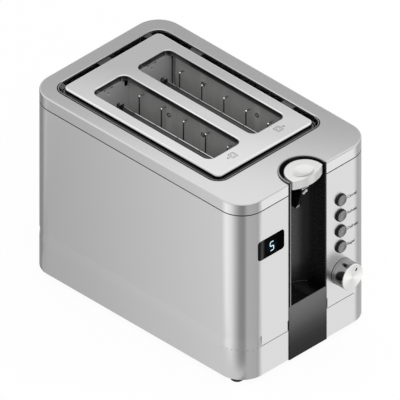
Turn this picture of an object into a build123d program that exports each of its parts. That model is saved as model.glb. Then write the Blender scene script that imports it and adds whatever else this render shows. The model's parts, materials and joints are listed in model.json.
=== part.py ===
from build123d import *
from math import asin, hypot, sqrt
import os

# Two-slice toaster with a brushed steel body, a drop lever in a black front channel,
# four push buttons, a shade knob, a digit window and a crumb tray that pulls out at the back.
# Millimetres. X runs left to right seen from the front, Y from the front to the back, Z up.
# The origin is on the table, under the middle of the whole length from knob face to tray pull.

# Body shell
BODY_WIDTH = 160.0
BODY_LENGTH = 262.0
TOP_Z = 190.0
FOOT_HEIGHT = 4.0
CORNER_RADIUS = 24.0
SHEET = 0.8
BAND_TOP_Z = 35.0
WAIST_TOP_Z = 46.0
WAIST_INSET = 0.9
BAND_LIP = 4.0
BAND_GAP = 0.6
COVER_HEIGHT = 12.0
SEAM_GAP = 1.0
SEAM_LIP = 6.5
TOP_EDGE_RADIUS = 1.5
FIT = 0.1
SLIDE_FIT = 0.3

# Recess, slot plate and toast slots
RECESS_SIDE_MARGIN = 14.4
RECESS_BACK_MARGIN = 14.4
RECESS_FRONT_MARGIN = 43.4
RECESS_RADIUS = 12.5
RECESS_DEPTH = 4.7
RECESS_EDGE_RADIUS = 1.3
RECESS_SHEET = 1.4
PLATE_GAP = 6.6
PLATE_RISE = 0.8
PLATE_EDGE_RADIUS = 2.0
SLOT_LENGTH = 144.5
SLOT_WIDTH = 40.3
SLOT_PITCH = 53.6
SLOT_RADIUS = 7.0
SLOT_FLANGE = 5.8
SLOT_EDGE_RADIUS = 1.1
TROUGH_OVERLAP = 5.0
VENT_WIDTH = 2.6
VENT_REACH = 3.0
VENT_RISE = 1.2
VENT_BRIDGE = 14.0
VENT_BRIDGE_OFFSET = 56.0

# Lever channel, lever and carriage
CHANNEL_RADIUS = 21.2
CHANNEL_CENTRE_DEPTH = 4.4
CHANNEL_WALL = 1.8
CHANNEL_FLOOR_Z = 60.0
BEAD_HEIGHT = 1.2
BEAD_PROUD = 0.7
BEAD_RADIUS = 0.6
BADGE_THICKNESS = 0.75
PANEL_NOTCH = 1.3
HEAD_RADIUS = 18.5
HEAD_CENTRE_DEPTH = 3.0
HEAD_BULGE = 5.0
HEAD_PROUD = 1.2
HEAD_HEIGHT = 9.7
HEAD_WALL = 2.0
HEAD_EDGE_RADIUS = 1.2
HEAD_DISH_RADIUS = 9.8
HEAD_DISH_DEPTH = 1.3
STEM_THICKNESS = 6.0
STEM_DROP = 32.5
STEM_STOP_GAP = 5.0
STEM_TOE_DEPTH = 11.0
STEM_HEEL_DEPTH = 22.0
STEM_LEAN = 5.0
STEM_GRIP = 8.0
PIN_RADIUS = 1.3
PIN_DEPTH = 4.0
PIN_DROP = 8.0
PIN_PROUD = 0.9
ARM_THICKNESS = 3.0
ARM_HEIGHT = 9.0
ARM_FOOT_WIDTH = 14.0
ARM_CLEARANCE = 0.8
GUIDE_ROD_RADIUS = 2.5
GUIDE_ROD_PITCH = 32.0
GUIDE_SETBACK = 22.5
BUSHING_WALL = 2.0
CARRIAGE_HEIGHT = 26.0
CARRIAGE_PLATE = 1.2
CARRIAGE_HALF_WIDTH = 34.0
RUNNING_FIT = 0.05
MAGNET_WIDTH = 16.0
MAGNET_DEPTH = 12.0
MAGNET_HEIGHT = 18.0
KEEPER_THICKNESS = 3.0
KEEPER_INSET = 2.0
KEEPER_GAP = 0.5
POLE_WIDTH = 8.0
POLE_DEPTH = 6.0
POLE_PROUD = 2.0
SPRING_RADIUS = 3.0
SPRING_WIRE_RADIUS = 0.5
SPRING_TURNS = 10
SPRING_SETBACK = 7.5
HOOK_RISE = 8.0
HOOK_WIDTH = 6.0
BRACKET_DROP = 4.0
BRACKET_SHEET = 1.2
BRACKET_MARGIN = 8.0
BRACKET_FLANGE = 12.0

# Toast cage
END_PLATE_HALF_WIDTH = 62.0
END_PLATE_BOTTOM_Z = 28.0
END_FLANGE = 8.0
CARD_THICKNESS = 1.2
CARD_BOTTOM_Z = 60.0
CARD_TOP_GAP = 4.3
CARD_END_GAP = 0.2
CARD_REAR_GAP = 3.2
CARD_WAIST = 5.0
WINDING_BOTTOM_Z = 72.0
WINDING_PITCH = 9.0
WINDING_TURNS = 9
RIBBON_WIDTH = 2.2
RIBBON_THICKNESS = 0.25
SHIELD_GAP = 5.8
SHIELD_THICKNESS = 0.6
SHIELD_MARGIN = 6.0
RACK_RISE = 1.0
RACK_HALF_WIDTH = 14.0
RACK_SHEET = 1.0
RACK_LIP = 2.5
RACK_ARM_HALF_WIDTH = 4.5
RACK_ARM_DROP = 10.0
RACK_END_GAP = 0.6
RACK_HOLES = 5
RACK_HOLE_LENGTH = 18.0
RACK_HOLE_WIDTH = 7.0
EAR_REACH = 3.0
EAR_INSET = 0.8
EAR_ROOT = 6.0
RACK_SLOT_CLEARANCE = 1.0
GUARD_INNER_OFFSET = 20.6
GUARD_OUTER_OFFSET = 16.4
GUARD_PIVOT_Z = 66.0
GUARD_DROP = 15.0
GUARD_WIRE_RADIUS = 0.6
GUARD_ROD_RADIUS = 1.0
GUARD_ROD_REACH = 2.0
GUARD_WIRES = 5
GUARD_WIRE_PITCH = 27.0
GUARD_LEG = 5.0
GUARD_BEND = 1.2
KEYHOLE_OFFSET = 23.0
KEYHOLE_WIDTH = 4.4
KEYHOLE_LENGTH = 11.0
KEYHOLE_DROP = 1.5

# Controls
BUTTON_X = 40.4
BUTTON_TOP_Z = 142.3
BUTTON_PITCH = 16.5
BUTTON_COUNT = 4
BUTTON_RADIUS = 5.75
BUTTON_PROUD = 2.3
BUTTON_TRAVEL = 1.2
BUTTON_FLANGE = 1.4
BUTTON_FLANGE_THICKNESS = 1.0
BUTTON_EDGE = 0.35
BUTTON_STEM_RADIUS = 1.75
BUTTON_STEM_REACH = 9.0
CARRIER_DEPTH = 5.0
CARRIER_THICKNESS = 2.0
CARRIER_HALF_WIDTH = 9.0
CARRIER_MARGIN_LOW = 9.0
CARRIER_MARGIN_HIGH = 12.0
CARRIER_POST_RADIUS = 1.6
CARRIER_POST_INSET = 2.2
CONTROL_BOARD_DEPTH = 15.0
CONTROL_BOARD_LEFT = 11.0
CONTROL_BOARD_RIGHT = 14.0
CONTROL_BOARD_MARGIN = 13.0
SWITCH_SIZE = 6.0
SWITCH_DEPTH = 3.5
KNOB_X = 41.8
KNOB_Z = 65.9
KNOB_REACH = 13.5
KNOB_RADIUS = 12.5
KNOB_SKIRT_RADIUS = 12.8
KNOB_SKIRT_LENGTH = 1.6
KNOB_STANDOFF = 0.4
KNOB_CAP_THICKNESS = 1.5
KNOB_HOLLOW_RADIUS = 9.5
KNOB_HOLLOW_DEPTH = 8.0
MARK_RADIUS = 0.8
MARK_OFFSET = 7.6
SHAFT_RADIUS = 3.0
SHAFT_SEAT = 2.0
ENCODER_SIZE = 13.0
ENCODER_BORE_DEPTH = 8.0
ENCODER_BUSH_RADIUS = 4.2
ENCODER_BUSH_REACH = 5.0
NUT_RADIUS = 6.4
NUT_THICKNESS = 2.2
WINDOW_INSET = 19.8
WINDOW_CHANNEL_GAP = 5.6
WINDOW_BOTTOM_Z = 126.2
WINDOW_TOP_Z = 146.2
WINDOW_RADIUS = 3.0
WINDOW_PROUD = 0.25
WINDOW_THICKNESS = 1.3
WINDOW_BOARD_DEPTH = 8.5
WINDOW_BOARD_MARGIN = 4.0
DIGIT_INSET_X = 6.0
DIGIT_INSET_Z = 2.5
BOARD = 1.6

# Base, tray and feet
PAN_GAP = 0.2
PAN_WALL = 2.0
PAN_FLOOR = 2.5
PAN_TOP_GAP = 0.5
POST_OFFSET = 4.5
POST_SIZE = 8.4
ROD_BOSS_WALL = 2.5
ROD_BOSS_HEIGHT = 14.0
PAN_VENTS = 7
PAN_VENT_PITCH = 6.0
PAN_VENT_LENGTH = 34.0
PAN_VENT_WIDTH = 2.6
PAN_VENT_X = 40.0
PAN_VENT_START = 30.0
FOOT_RADIUS = 6.0
FOOT_INSET_X = 10.1
FOOT_INSET_Y = 16.0
TRAY_HALF_WIDTH = 49.5
TRAY_HEIGHT = 9.0
TRAY_SHEET = 0.8
TRAY_FACE_HEIGHT = 16.0
TRAY_FACE_THICKNESS = 2.0
TRAY_FACE_OVERLAP = 1.0
TRAY_SETBACK = 3.0
PULL_REACH = 5.0
PULL_RISE = 2.0
PULL_CORNER_RADIUS = 3.5
PULL_WIDTH = 60.0
PULL_THICKNESS = 3.0
RAIL_WIDTH = 2.5
RAIL_HEIGHT = 6.0
SCREW_RADIUS = 1.5
SCREW_HEAD_RADIUS = 3.0
SCREW_HEAD = 1.6
SCREW_REACH = 2.0
GLAND_INSET = 13.8
GLAND_Z = 58.0
GLAND_RADIUS = 6.0
GLAND_BORE_RADIUS = 3.6
GLAND_COLLAR = 2.0
GLAND_NUT = 3.0
GLAND_REACH = 7.0
POWER_INSET = 10.0
POWER_WIDTH = 44.0
POWER_FRONT_GAP = 12.0
POWER_BACK_GAP = 14.0
POWER_STAND = 8.0
POWER_POST_RADIUS = 2.0
POWER_PARTS_GAP = 18.0
RELAY_SIZE = (16.0, 20.0, 16.0)
TRANSFORMER_SIZE = (14.0, 16.0, 14.0)
CAPACITOR_RADIUS = 5.0
CAPACITOR_HEIGHT = 15.0
POWER_PARTS_SPACE = 4.0

# Places worked out from the sizes above
FRONT_Y = KNOB_REACH - (KNOB_REACH + BODY_LENGTH + PULL_REACH) / 2
BACK_Y = FRONT_Y + BODY_LENGTH
BODY_Y = (FRONT_Y + BACK_Y) / 2
SEAM_Z = TOP_Z - COVER_HEIGHT
RECESS_FRONT_Y = FRONT_Y + RECESS_FRONT_MARGIN
RECESS_BACK_Y = BACK_Y - RECESS_BACK_MARGIN
RECESS_HALF_WIDTH = BODY_WIDTH / 2 - RECESS_SIDE_MARGIN
RECESS_HALF_LENGTH = (RECESS_BACK_Y - RECESS_FRONT_Y) / 2
CAVITY_Y = (RECESS_FRONT_Y + RECESS_BACK_Y) / 2
CAVITY_FRONT_Y = CAVITY_Y - SLOT_LENGTH / 2
CAVITY_BACK_Y = CAVITY_Y + SLOT_LENGTH / 2
TROUGH_Z = TOP_Z - RECESS_DEPTH
PLATE_Z = TOP_Z + PLATE_RISE
CHANNEL_Y = FRONT_Y + CHANNEL_CENTRE_DEPTH
CHANNEL_OUTER = CHANNEL_RADIUS + CHANNEL_WALL
OPENING_HALF = CHANNEL_OUTER + FIT
HEAD_Y = FRONT_Y + HEAD_CENTRE_DEPTH
HEAD_TOP_Z = TOP_Z + HEAD_PROUD
HEAD_BOTTOM_Z = HEAD_TOP_Z - HEAD_HEIGHT
HEAD_CHORD = sqrt(HEAD_RADIUS**2 - HEAD_CENTRE_DEPTH**2)
STEM_BOTTOM_Z = HEAD_BOTTOM_Z - STEM_DROP
LEVER_TRAVEL = STEM_BOTTOM_Z - CHANNEL_FLOOR_Z - STEM_STOP_GAP
ARM_TOP_Z = STEM_BOTTOM_Z + ARM_HEIGHT
GUIDE_Y = CAVITY_FRONT_Y - GUIDE_SETBACK
CARRIAGE_FRONT_Y = GUIDE_Y + GUIDE_ROD_RADIUS + SLIDE_FIT
CARRIAGE_BACK_Y = CARRIAGE_FRONT_Y + CARRIAGE_PLATE
CARRIAGE_BOTTOM_Z = ARM_TOP_Z - CARRIAGE_HEIGHT
RACK_Z = ARM_TOP_Z + RACK_RISE
RACK_BOTTOM_Z = RACK_Z - RACK_SHEET
RACK_TOP_Z = RACK_Z + RACK_LIP
CARD_TOP_Z = TROUGH_Z - CARD_TOP_GAP
GUARD_TOP_Z = TOP_Z - GUARD_DROP
PAN_BOTTOM_Z = FOOT_HEIGHT + SHEET
PAN_FLOOR_Z = PAN_BOTTOM_Z + PAN_FLOOR
PAN_TOP_Z = BAND_TOP_Z - PAN_TOP_GAP
PAN_INSET = SHEET + PAN_GAP
KEEPER_BOTTOM_Z = CARRIAGE_BOTTOM_Z + CARRIAGE_PLATE
MAGNET_TOP_Z = KEEPER_BOTTOM_Z - LEVER_TRAVEL - KEEPER_GAP
MAGNET_Y = CARRIAGE_FRONT_Y - MAGNET_DEPTH / 2 - SLIDE_FIT
SPRING_Y = CARRIAGE_BACK_Y + SPRING_SETBACK
SPRING_HOOK_Z = CARRIAGE_BOTTOM_Z + HOOK_RISE
BRACKET_Z = TROUGH_Z - SHEET - BRACKET_DROP
CONTROL_BOARD_Y = FRONT_Y + CONTROL_BOARD_DEPTH
WINDOW_LEFT_X = WINDOW_INSET - BODY_WIDTH / 2
WINDOW_RIGHT_X = -CHANNEL_OUTER - WINDOW_CHANNEL_GAP
WINDOW_BOARD_Y = FRONT_Y + WINDOW_BOARD_DEPTH
TRAY_Z = PAN_FLOOR_Z + SLIDE_FIT
TRAY_FRONT_Y = CAVITY_FRONT_Y + TRAY_SETBACK
TRAY_BACK_Y = BACK_Y - TRAY_FACE_THICKNESS
FLAT_HALF = BODY_WIDTH / 2 - CORNER_RADIUS
PANEL_HALF = FLAT_HALF - 2 * FIT
GLAND_X = GLAND_INSET - PANEL_HALF
POWER_X = POWER_INSET - BODY_WIDTH / 2
POWER_Z = PAN_FLOOR_Z + POWER_STAND


def block(x0, x1, y0, y1, z0, z1):
    """A box between two corners."""
    centre = Pos((x0 + x1) / 2, (y0 + y1) / 2, (z0 + z1) / 2)
    return centre * Box(abs(x1 - x0), abs(y1 - y0), abs(z1 - z0))


def rod_x(y, z, radius, x0, x1):
    return Pos((x0 + x1) / 2, y, z) * Rot(0, 90, 0) * Cylinder(radius, x1 - x0)


def rod_y(x, z, radius, y0, y1):
    return Pos(x, (y0 + y1) / 2, z) * Rot(90, 0, 0) * Cylinder(radius, y1 - y0)


def rod_z(x, y, radius, z0, z1):
    return Pos(x, y, (z0 + z1) / 2) * Cylinder(radius, z1 - z0)


def slab(sketch, z0, z1):
    """A flat sketch raised from z0 to z1."""
    return extrude(Pos(0, 0, z0) * sketch, z1 - z0)


def body_outline(inset=0.0):
    """The plan of the body shell, moved in by inset."""
    size = (BODY_WIDTH - 2 * inset, BODY_LENGTH - 2 * inset)
    return Pos(0, BODY_Y) * RectangleRounded(*size, CORNER_RADIUS - inset)


def body_ring(outer, inner, z0, z1):
    return slab(body_outline(outer) - body_outline(inner), z0, z1)


def recess_outline(grow=0.0):
    """The plan of the recess round the slot plate, moved out by grow."""
    size = (2 * (RECESS_HALF_WIDTH + grow), 2 * (RECESS_HALF_LENGTH + grow))
    return Pos(0, CAVITY_Y) * RectangleRounded(*size, RECESS_RADIUS + grow)


def slot_outline(side, grow=0.0):
    """The plan of one toast slot, moved out by grow. Side is -1 or 1."""
    size = (SLOT_WIDTH + 2 * grow, SLOT_LENGTH + 2 * grow)
    return Pos(side * SLOT_PITCH / 2, CAVITY_Y) * RectangleRounded(*size, SLOT_RADIUS + grow)


def channel_outline(radius, front_y):
    """The U-shaped plan of the lever channel, open to the front at front_y."""
    straight = Pos(0, (front_y + CHANNEL_Y) / 2) * Rectangle(2 * radius, CHANNEL_Y - front_y)
    behind = Pos(0, CHANNEL_Y + radius) * Rectangle(4 * radius, 2 * radius)
    return (Pos(0, CHANNEL_Y) * Circle(radius) & behind) + straight


def edges_at(part, z):
    """The edges of a part that lie flat at height z."""
    return [e for e in part.edges() if abs(e.bounding_box().min.Z - z) < 1e-4 and abs(e.bounding_box().max.Z - z) < 1e-4]


def domed(sketch, z0, z1, radius):
    """A raised sketch with its top edge rounded."""
    body = slab(sketch, z0, z1)
    return fillet(edges_at(body, z1), radius)


def window_solid(y0, y1, grow=0.0):
    """The digit window's outline as a solid from y0 to y1."""
    width = WINDOW_RIGHT_X - WINDOW_LEFT_X + 2 * grow
    height = WINDOW_TOP_Z - WINDOW_BOTTOM_Z + 2 * grow
    centre = Pos((WINDOW_LEFT_X + WINDOW_RIGHT_X) / 2, y0, (WINDOW_BOTTOM_Z + WINDOW_TOP_Z) / 2)
    face = RectangleRounded(width, height, WINDOW_RADIUS + grow)
    return extrude(centre * Rot(-90, 0, 0) * face, y1 - y0)


def button_heights():
    return [BUTTON_TOP_Z - i * BUTTON_PITCH for i in range(BUTTON_COUNT)]


def foot_places():
    x = BODY_WIDTH / 2 - FOOT_INSET_X
    return [(sx * x, y) for y in (FRONT_Y + FOOT_INSET_Y, BACK_Y - FOOT_INSET_Y) for sx in (-1, 1)]


def post_places():
    """Where the four posts of the base pan carry the end plates."""
    x = TRAY_HALF_WIDTH + RAIL_WIDTH + POST_OFFSET
    return [(sx * x, y) for y in (CAVITY_FRONT_Y - END_FLANGE / 2, CAVITY_BACK_Y + END_FLANGE / 2) for sx in (-1, 1)]


# Shell

def top_cover():
    outer = domed(body_outline(), SEAM_Z + SEAM_GAP / 2, TOP_Z, TOP_EDGE_RADIUS)
    hollow = domed(body_outline(SHEET), SEAM_Z - 1, TOP_Z - SHEET, TOP_EDGE_RADIUS - SHEET / 2)
    cover = outer - hollow
    cover += slab(recess_outline(RECESS_SHEET), TROUGH_Z, TOP_Z - SHEET / 2)
    cover -= slab(recess_outline(), TROUGH_Z - 1, TOP_Z + 1)
    rim = [e for e in edges_at(cover, TOP_Z) if abs(e.center().X) < RECESS_HALF_WIDTH + 0.1
           and RECESS_FRONT_Y - 0.1 < e.center().Y < RECESS_BACK_Y + 0.1]
    cover = fillet(rim, RECESS_EDGE_RADIUS)
    cover -= slab(wall_vents(), TROUGH_Z - 1, TROUGH_Z + VENT_RISE)
    return cover - slab(channel_outline(OPENING_HALF, FRONT_Y - 5), SEAM_Z - 1, TOP_Z + 1)


def slot_plate():
    inner = -PLATE_GAP - SHEET
    plate = domed(recess_outline(-PLATE_GAP), TROUGH_Z, PLATE_Z, PLATE_EDGE_RADIUS)
    plate -= domed(recess_outline(inner), TROUGH_Z - 1, PLATE_Z - SHEET, PLATE_EDGE_RADIUS - SHEET)
    for side in (-1, 1):
        plate += slab(slot_outline(side, SHEET), PLATE_Z - SLOT_FLANGE, PLATE_Z - SHEET / 2)
    for side in (-1, 1):
        plate -= slab(slot_outline(side), PLATE_Z - SLOT_FLANGE - 1, PLATE_Z + 1)
    lips = [e for e in edges_at(plate, PLATE_Z) if abs(e.center().X) < SLOT_PITCH / 2 + SLOT_WIDTH / 2 + 0.1
            and abs(e.center().Y - CAVITY_Y) < SLOT_LENGTH / 2 + 0.1]
    return fillet(lips, SLOT_EDGE_RADIUS)


def vent_ring(inward, outward):
    """The long openings round the edge of the recess, cut through by their bridges, as one sketch."""
    ring = recess_outline(outward) - recess_outline(-inward)
    across = 4 * RECESS_HALF_LENGTH
    for side in (-1, 1):
        ring -= Pos(0, CAVITY_Y + side * VENT_BRIDGE_OFFSET) * Rectangle(across, VENT_BRIDGE)
        ring -= Pos(side * (RECESS_HALF_WIDTH - RECESS_RADIUS), CAVITY_Y) * Rectangle(VENT_BRIDGE / 2, across)
    return ring - Pos(0, CAVITY_Y) * Rectangle(VENT_BRIDGE, across)


def wall_vents():
    """The openings at the foot of the recess wall, along both sides and round its corners."""
    ends = Rectangle(2 * (RECESS_HALF_WIDTH - RECESS_RADIUS), 4 * RECESS_HALF_LENGTH)
    return vent_ring(1, VENT_REACH) - Pos(0, CAVITY_Y) * ends


def trough():
    floor = recess_outline(TROUGH_OVERLAP)
    hole = (SLOT_PITCH + SLOT_WIDTH + 2 * SHEET + 4, SLOT_LENGTH + 2 * SHEET + 4)
    floor -= Pos(0, CAVITY_Y) * RectangleRounded(*hole, SLOT_RADIUS)
    return slab(floor - vent_ring(VENT_WIDTH, VENT_REACH), TROUGH_Z - SHEET, TROUGH_Z)


def front_cuts():
    """Everything that is cut through the front wall for the controls."""
    thickness = 2 * SHEET + 2
    y0, y1 = FRONT_Y - 1, FRONT_Y + thickness
    cuts = [block(-OPENING_HALF, OPENING_HALF, y0, CHANNEL_Y, CHANNEL_FLOOR_Z - CHANNEL_WALL - FIT, TOP_Z)]
    cuts.append(window_solid(y0, y1 + 2, FIT))
    cuts += [rod_y(BUTTON_X, z, BUTTON_RADIUS + SLIDE_FIT, y0, y1) for z in button_heights()]
    cuts.append(rod_y(KNOB_X, KNOB_Z, ENCODER_BUSH_RADIUS + FIT, y0, y1))
    for side in (-1, 1):
        notch_x = side * (OPENING_HALF + PANEL_NOTCH / 2)
        cuts.append(block(notch_x - PANEL_NOTCH / 2, notch_x + PANEL_NOTCH / 2, y0, y1, BAND_TOP_Z + 1, WAIST_TOP_Z))
    return cuts


def body_wrap():
    top = SEAM_Z - SEAM_GAP / 2
    wrap = body_ring(0, SHEET, WAIST_TOP_Z, top)
    wrap += body_ring(SHEET, 2 * SHEET, top - SEAM_LIP, top)
    wrap += body_ring(SHEET + FIT, 2 * SHEET, top - 1, top + SEAM_LIP)
    wrap += block(-FLAT_HALF, FLAT_HALF, FRONT_Y, FRONT_Y + SHEET, BAND_TOP_Z + BAND_GAP, WAIST_TOP_Z)
    wrap -= block(-FLAT_HALF, FLAT_HALF, BACK_Y - 3 * SHEET, BACK_Y + 1, WAIST_TOP_Z - 1, TOP_Z)
    for cut in front_cuts():
        wrap -= cut
    return wrap


def rear_panel():
    half = PANEL_HALF
    top = SEAM_Z - SEAM_GAP / 2
    panel = block(-half, half, BACK_Y - SHEET, BACK_Y, WAIST_TOP_Z, top)
    for side in (-1, 1):
        fold = block(side * (half - 3), side * half, BACK_Y - 2 * SHEET - 2 * FIT, BACK_Y - SHEET,
                     WAIST_TOP_Z + BAND_LIP + 1, top - SEAM_LIP - 1)
        lap = block(side * (half - 3), side * (half + 2), BACK_Y - 2 * SHEET - 2 * FIT, BACK_Y - SHEET - 2 * FIT,
                    WAIST_TOP_Z + BAND_LIP + 1, top - SEAM_LIP - 1)
        panel += fold
        panel += lap
    panel += block(-half, half, BACK_Y - 2 * SHEET, BACK_Y - SHEET, top - SEAM_LIP, top)
    panel += block(-half, half, BACK_Y - 2 * SHEET, BACK_Y - SHEET - FIT, top - 1, top + SEAM_LIP)
    return panel - rod_y(GLAND_X, GLAND_Z, GLAND_RADIUS + FIT, BACK_Y - 10, BACK_Y + 10)


def tray_opening(grow=0.0):
    half = TRAY_HALF_WIDTH + TRAY_FACE_OVERLAP + grow
    return block(-half, half, BACK_Y - CORNER_RADIUS, BACK_Y + 5, TRAY_Z - SLIDE_FIT - grow, TRAY_Z + TRAY_FACE_HEIGHT + grow)


def base_band():
    outer = slab(body_outline(), FOOT_HEIGHT, BAND_TOP_Z)
    outer = chamfer(edges_at(outer, FOOT_HEIGHT), 0.5)
    band = outer - slab(body_outline(SHEET), FOOT_HEIGHT - 1, BAND_TOP_Z + 1)
    tall = Pos(0, 0, WAIST_TOP_Z) * body_outline(WAIST_INSET)
    short = Pos(0, 0, BAND_TOP_Z) * body_outline()
    tall_inner = Pos(0, 0, WAIST_TOP_Z) * body_outline(WAIST_INSET + SHEET)
    short_inner = Pos(0, 0, BAND_TOP_Z) * body_outline(SHEET)
    waist = loft([short, tall]) - loft([short_inner, tall_inner])
    waist += body_ring(WAIST_INSET, WAIST_INSET + SHEET, WAIST_TOP_Z, WAIST_TOP_Z + BAND_LIP)
    waist -= block(-FLAT_HALF - FIT, FLAT_HALF + FIT, FRONT_Y - 1, FRONT_Y + 3 * SHEET, BAND_TOP_Z, TOP_Z)
    return band + waist - tray_opening()


def channel_housing():
    wall_front = FRONT_Y - BEAD_PROUD
    tube = slab(channel_outline(CHANNEL_OUTER, wall_front), CHANNEL_FLOOR_Z, TOP_Z + BEAD_HEIGHT)
    tube -= slab(channel_outline(CHANNEL_RADIUS, wall_front - 1), CHANNEL_FLOOR_Z - 1, TOP_Z + BEAD_HEIGHT + 1)
    bead = [e for e in tube.edges() if abs(e.bounding_box().min.Z - TOP_Z - BEAD_HEIGHT) < 1e-4
            and e.bounding_box().size.Z < 1e-4 and e.bounding_box().max.Y > wall_front + 0.1]
    bead += [e for e in tube.edges().filter_by(Axis.Z) if abs(e.center().Y - wall_front) < 1e-4]
    tube = fillet(bead, BEAD_RADIUS)
    floor = slab(channel_outline(CHANNEL_OUTER, FRONT_Y + FIT), CHANNEL_FLOOR_Z - CHANNEL_WALL, CHANNEL_FLOOR_Z)
    slot_half = ARM_THICKNESS / 2 + ARM_CLEARANCE
    slot_low = STEM_BOTTOM_Z - LEVER_TRAVEL - ARM_CLEARANCE
    slot_high = ARM_TOP_Z + ARM_CLEARANCE
    back = CHANNEL_Y + CHANNEL_RADIUS
    return tube + floor - block(-slot_half, slot_half, back - 2, back + CHANNEL_WALL + 2, slot_low, slot_high)


def channel_badge():
    """The bare dark plate under the lever channel, on the front of the body and the base band."""
    plate = block(-CHANNEL_OUTER, CHANNEL_OUTER, FRONT_Y - BADGE_THICKNESS, FRONT_Y, FOOT_HEIGHT, CHANNEL_FLOOR_Z)
    long_edges = [e for e in plate.edges().filter_by(Axis.Z) if e.center().Y < FRONT_Y - 0.1]
    return fillet(long_edges, BADGE_THICKNESS / 2)


def window_lens():
    shell = body_ring(-WINDOW_PROUD, WINDOW_THICKNESS - WINDOW_PROUD, WINDOW_BOTTOM_Z - 1, WINDOW_TOP_Z + 1)
    return shell & window_solid(FRONT_Y - 1, FRONT_Y + 4)


# Lever and carriage

def head_outline(inset=0.0):
    """The D-shaped plan of the lever head with its bowed front."""
    front = (HEAD_CHORD**2 + HEAD_BULGE**2) / (2 * HEAD_BULGE)
    big = 4 * HEAD_RADIUS
    behind = Pos(0, FRONT_Y + big / 2) * Rectangle(big, big)
    before = Pos(0, FRONT_Y - big / 2) * Rectangle(big, big)
    back = (Pos(0, HEAD_Y) * Circle(HEAD_RADIUS)) & behind
    bow = (Pos(0, FRONT_Y + front - HEAD_BULGE) * Circle(front)) & before
    whole = back + bow
    return offset(whole, -inset) if inset else whole


def lever_head():
    head = slab(head_outline(), HEAD_BOTTOM_Z, HEAD_TOP_Z)
    head = fillet(edges_at(head, HEAD_TOP_Z), HEAD_EDGE_RADIUS)
    head -= slab(head_outline(HEAD_WALL), HEAD_BOTTOM_Z - 1, HEAD_TOP_Z - HEAD_WALL - HEAD_DISH_DEPTH)
    ball = (HEAD_DISH_RADIUS**2 + HEAD_DISH_DEPTH**2) / (2 * HEAD_DISH_DEPTH)
    return head - Pos(0, HEAD_Y, HEAD_TOP_Z - HEAD_DISH_DEPTH + ball) * Sphere(ball)


def lever_stem():
    """The black web under the lever head. It leans back from the head to the lever arm."""
    top = HEAD_TOP_Z - HEAD_WALL - HEAD_DISH_DEPTH - RUNNING_FIT
    back = STEM_HEEL_DEPTH - STEM_LEAN
    corners = [(FIT, HEAD_BOTTOM_Z), (STEM_TOE_DEPTH, STEM_BOTTOM_Z), (STEM_HEEL_DEPTH, STEM_BOTTOM_Z),
               (back, HEAD_BOTTOM_Z), (back, top), (FIT, top)]
    points = [(FRONT_Y + depth, z) for depth, z in corners]
    face = make_face(Polyline(*points, close=True))
    web = extrude(Plane.YZ.offset(-STEM_THICKNESS / 2) * face, STEM_THICKNESS)
    heel = FRONT_Y + STEM_HEEL_DEPTH
    web -= block(-ARM_THICKNESS / 2, ARM_THICKNESS / 2, heel - STEM_GRIP, heel + 1, STEM_BOTTOM_Z - 1, ARM_TOP_Z)
    return web - rod_x(FRONT_Y + PIN_DEPTH, HEAD_BOTTOM_Z - PIN_DROP, PIN_RADIUS, -STEM_THICKNESS, STEM_THICKNESS)


def stem_pin():
    half = STEM_THICKNESS / 2 + PIN_PROUD
    return rod_x(FRONT_Y + PIN_DEPTH, HEAD_BOTTOM_Z - PIN_DROP, PIN_RADIUS, -half, half)


def lever_arm():
    """The steel strip from the stem through the channel wall to the carriage plate."""
    start = FRONT_Y + STEM_HEEL_DEPTH - STEM_GRIP
    foot = ARM_FOOT_WIDTH / 2
    arm = block(-ARM_THICKNESS / 2, ARM_THICKNESS / 2, start, CARRIAGE_FRONT_Y, STEM_BOTTOM_Z, ARM_TOP_Z)
    return arm + block(-foot, foot, CARRIAGE_FRONT_Y - CARRIAGE_PLATE, CARRIAGE_FRONT_Y, STEM_BOTTOM_Z, ARM_TOP_Z)


def carriage():
    """The lift carriage: two guide bushings on one plate, the keeper's tongue and the spring's hook."""
    top = ARM_TOP_Z
    half = CARRIAGE_HALF_WIDTH
    plate = block(-half, half, CARRIAGE_FRONT_Y, CARRIAGE_BACK_Y, CARRIAGE_BOTTOM_Z, top)
    bore = GUIDE_ROD_RADIUS + RUNNING_FIT
    for side in (-1, 1):
        x = side * GUIDE_ROD_PITCH / 2
        plate += rod_z(x, GUIDE_Y, bore + BUSHING_WALL, CARRIAGE_BOTTOM_Z, top)
    for side in (-1, 1):
        plate -= rod_z(side * GUIDE_ROD_PITCH / 2, GUIDE_Y, bore, CARRIAGE_BOTTOM_Z - 1, top + 1)
    tongue = MAGNET_WIDTH / 2 - KEEPER_INSET
    tongue_z = KEEPER_BOTTOM_Z + KEEPER_THICKNESS
    plate += block(-tongue, tongue, MAGNET_Y - MAGNET_DEPTH / 2, CARRIAGE_BACK_Y, tongue_z, tongue_z + CARRIAGE_PLATE)
    end = SPRING_Y + SPRING_RADIUS + SPRING_WIRE_RADIUS
    return plate + block(-HOOK_WIDTH / 2, HOOK_WIDTH / 2, CARRIAGE_FRONT_Y, end, SPRING_HOOK_Z - CARRIAGE_PLATE, SPRING_HOOK_Z)


def keeper():
    """The soft iron plate that the latch magnet holds."""
    half = MAGNET_WIDTH / 2 - KEEPER_INSET
    reach = MAGNET_DEPTH / 2
    return block(-half, half, MAGNET_Y - reach, MAGNET_Y + reach, KEEPER_BOTTOM_Z, KEEPER_BOTTOM_Z + KEEPER_THICKNESS)


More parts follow.
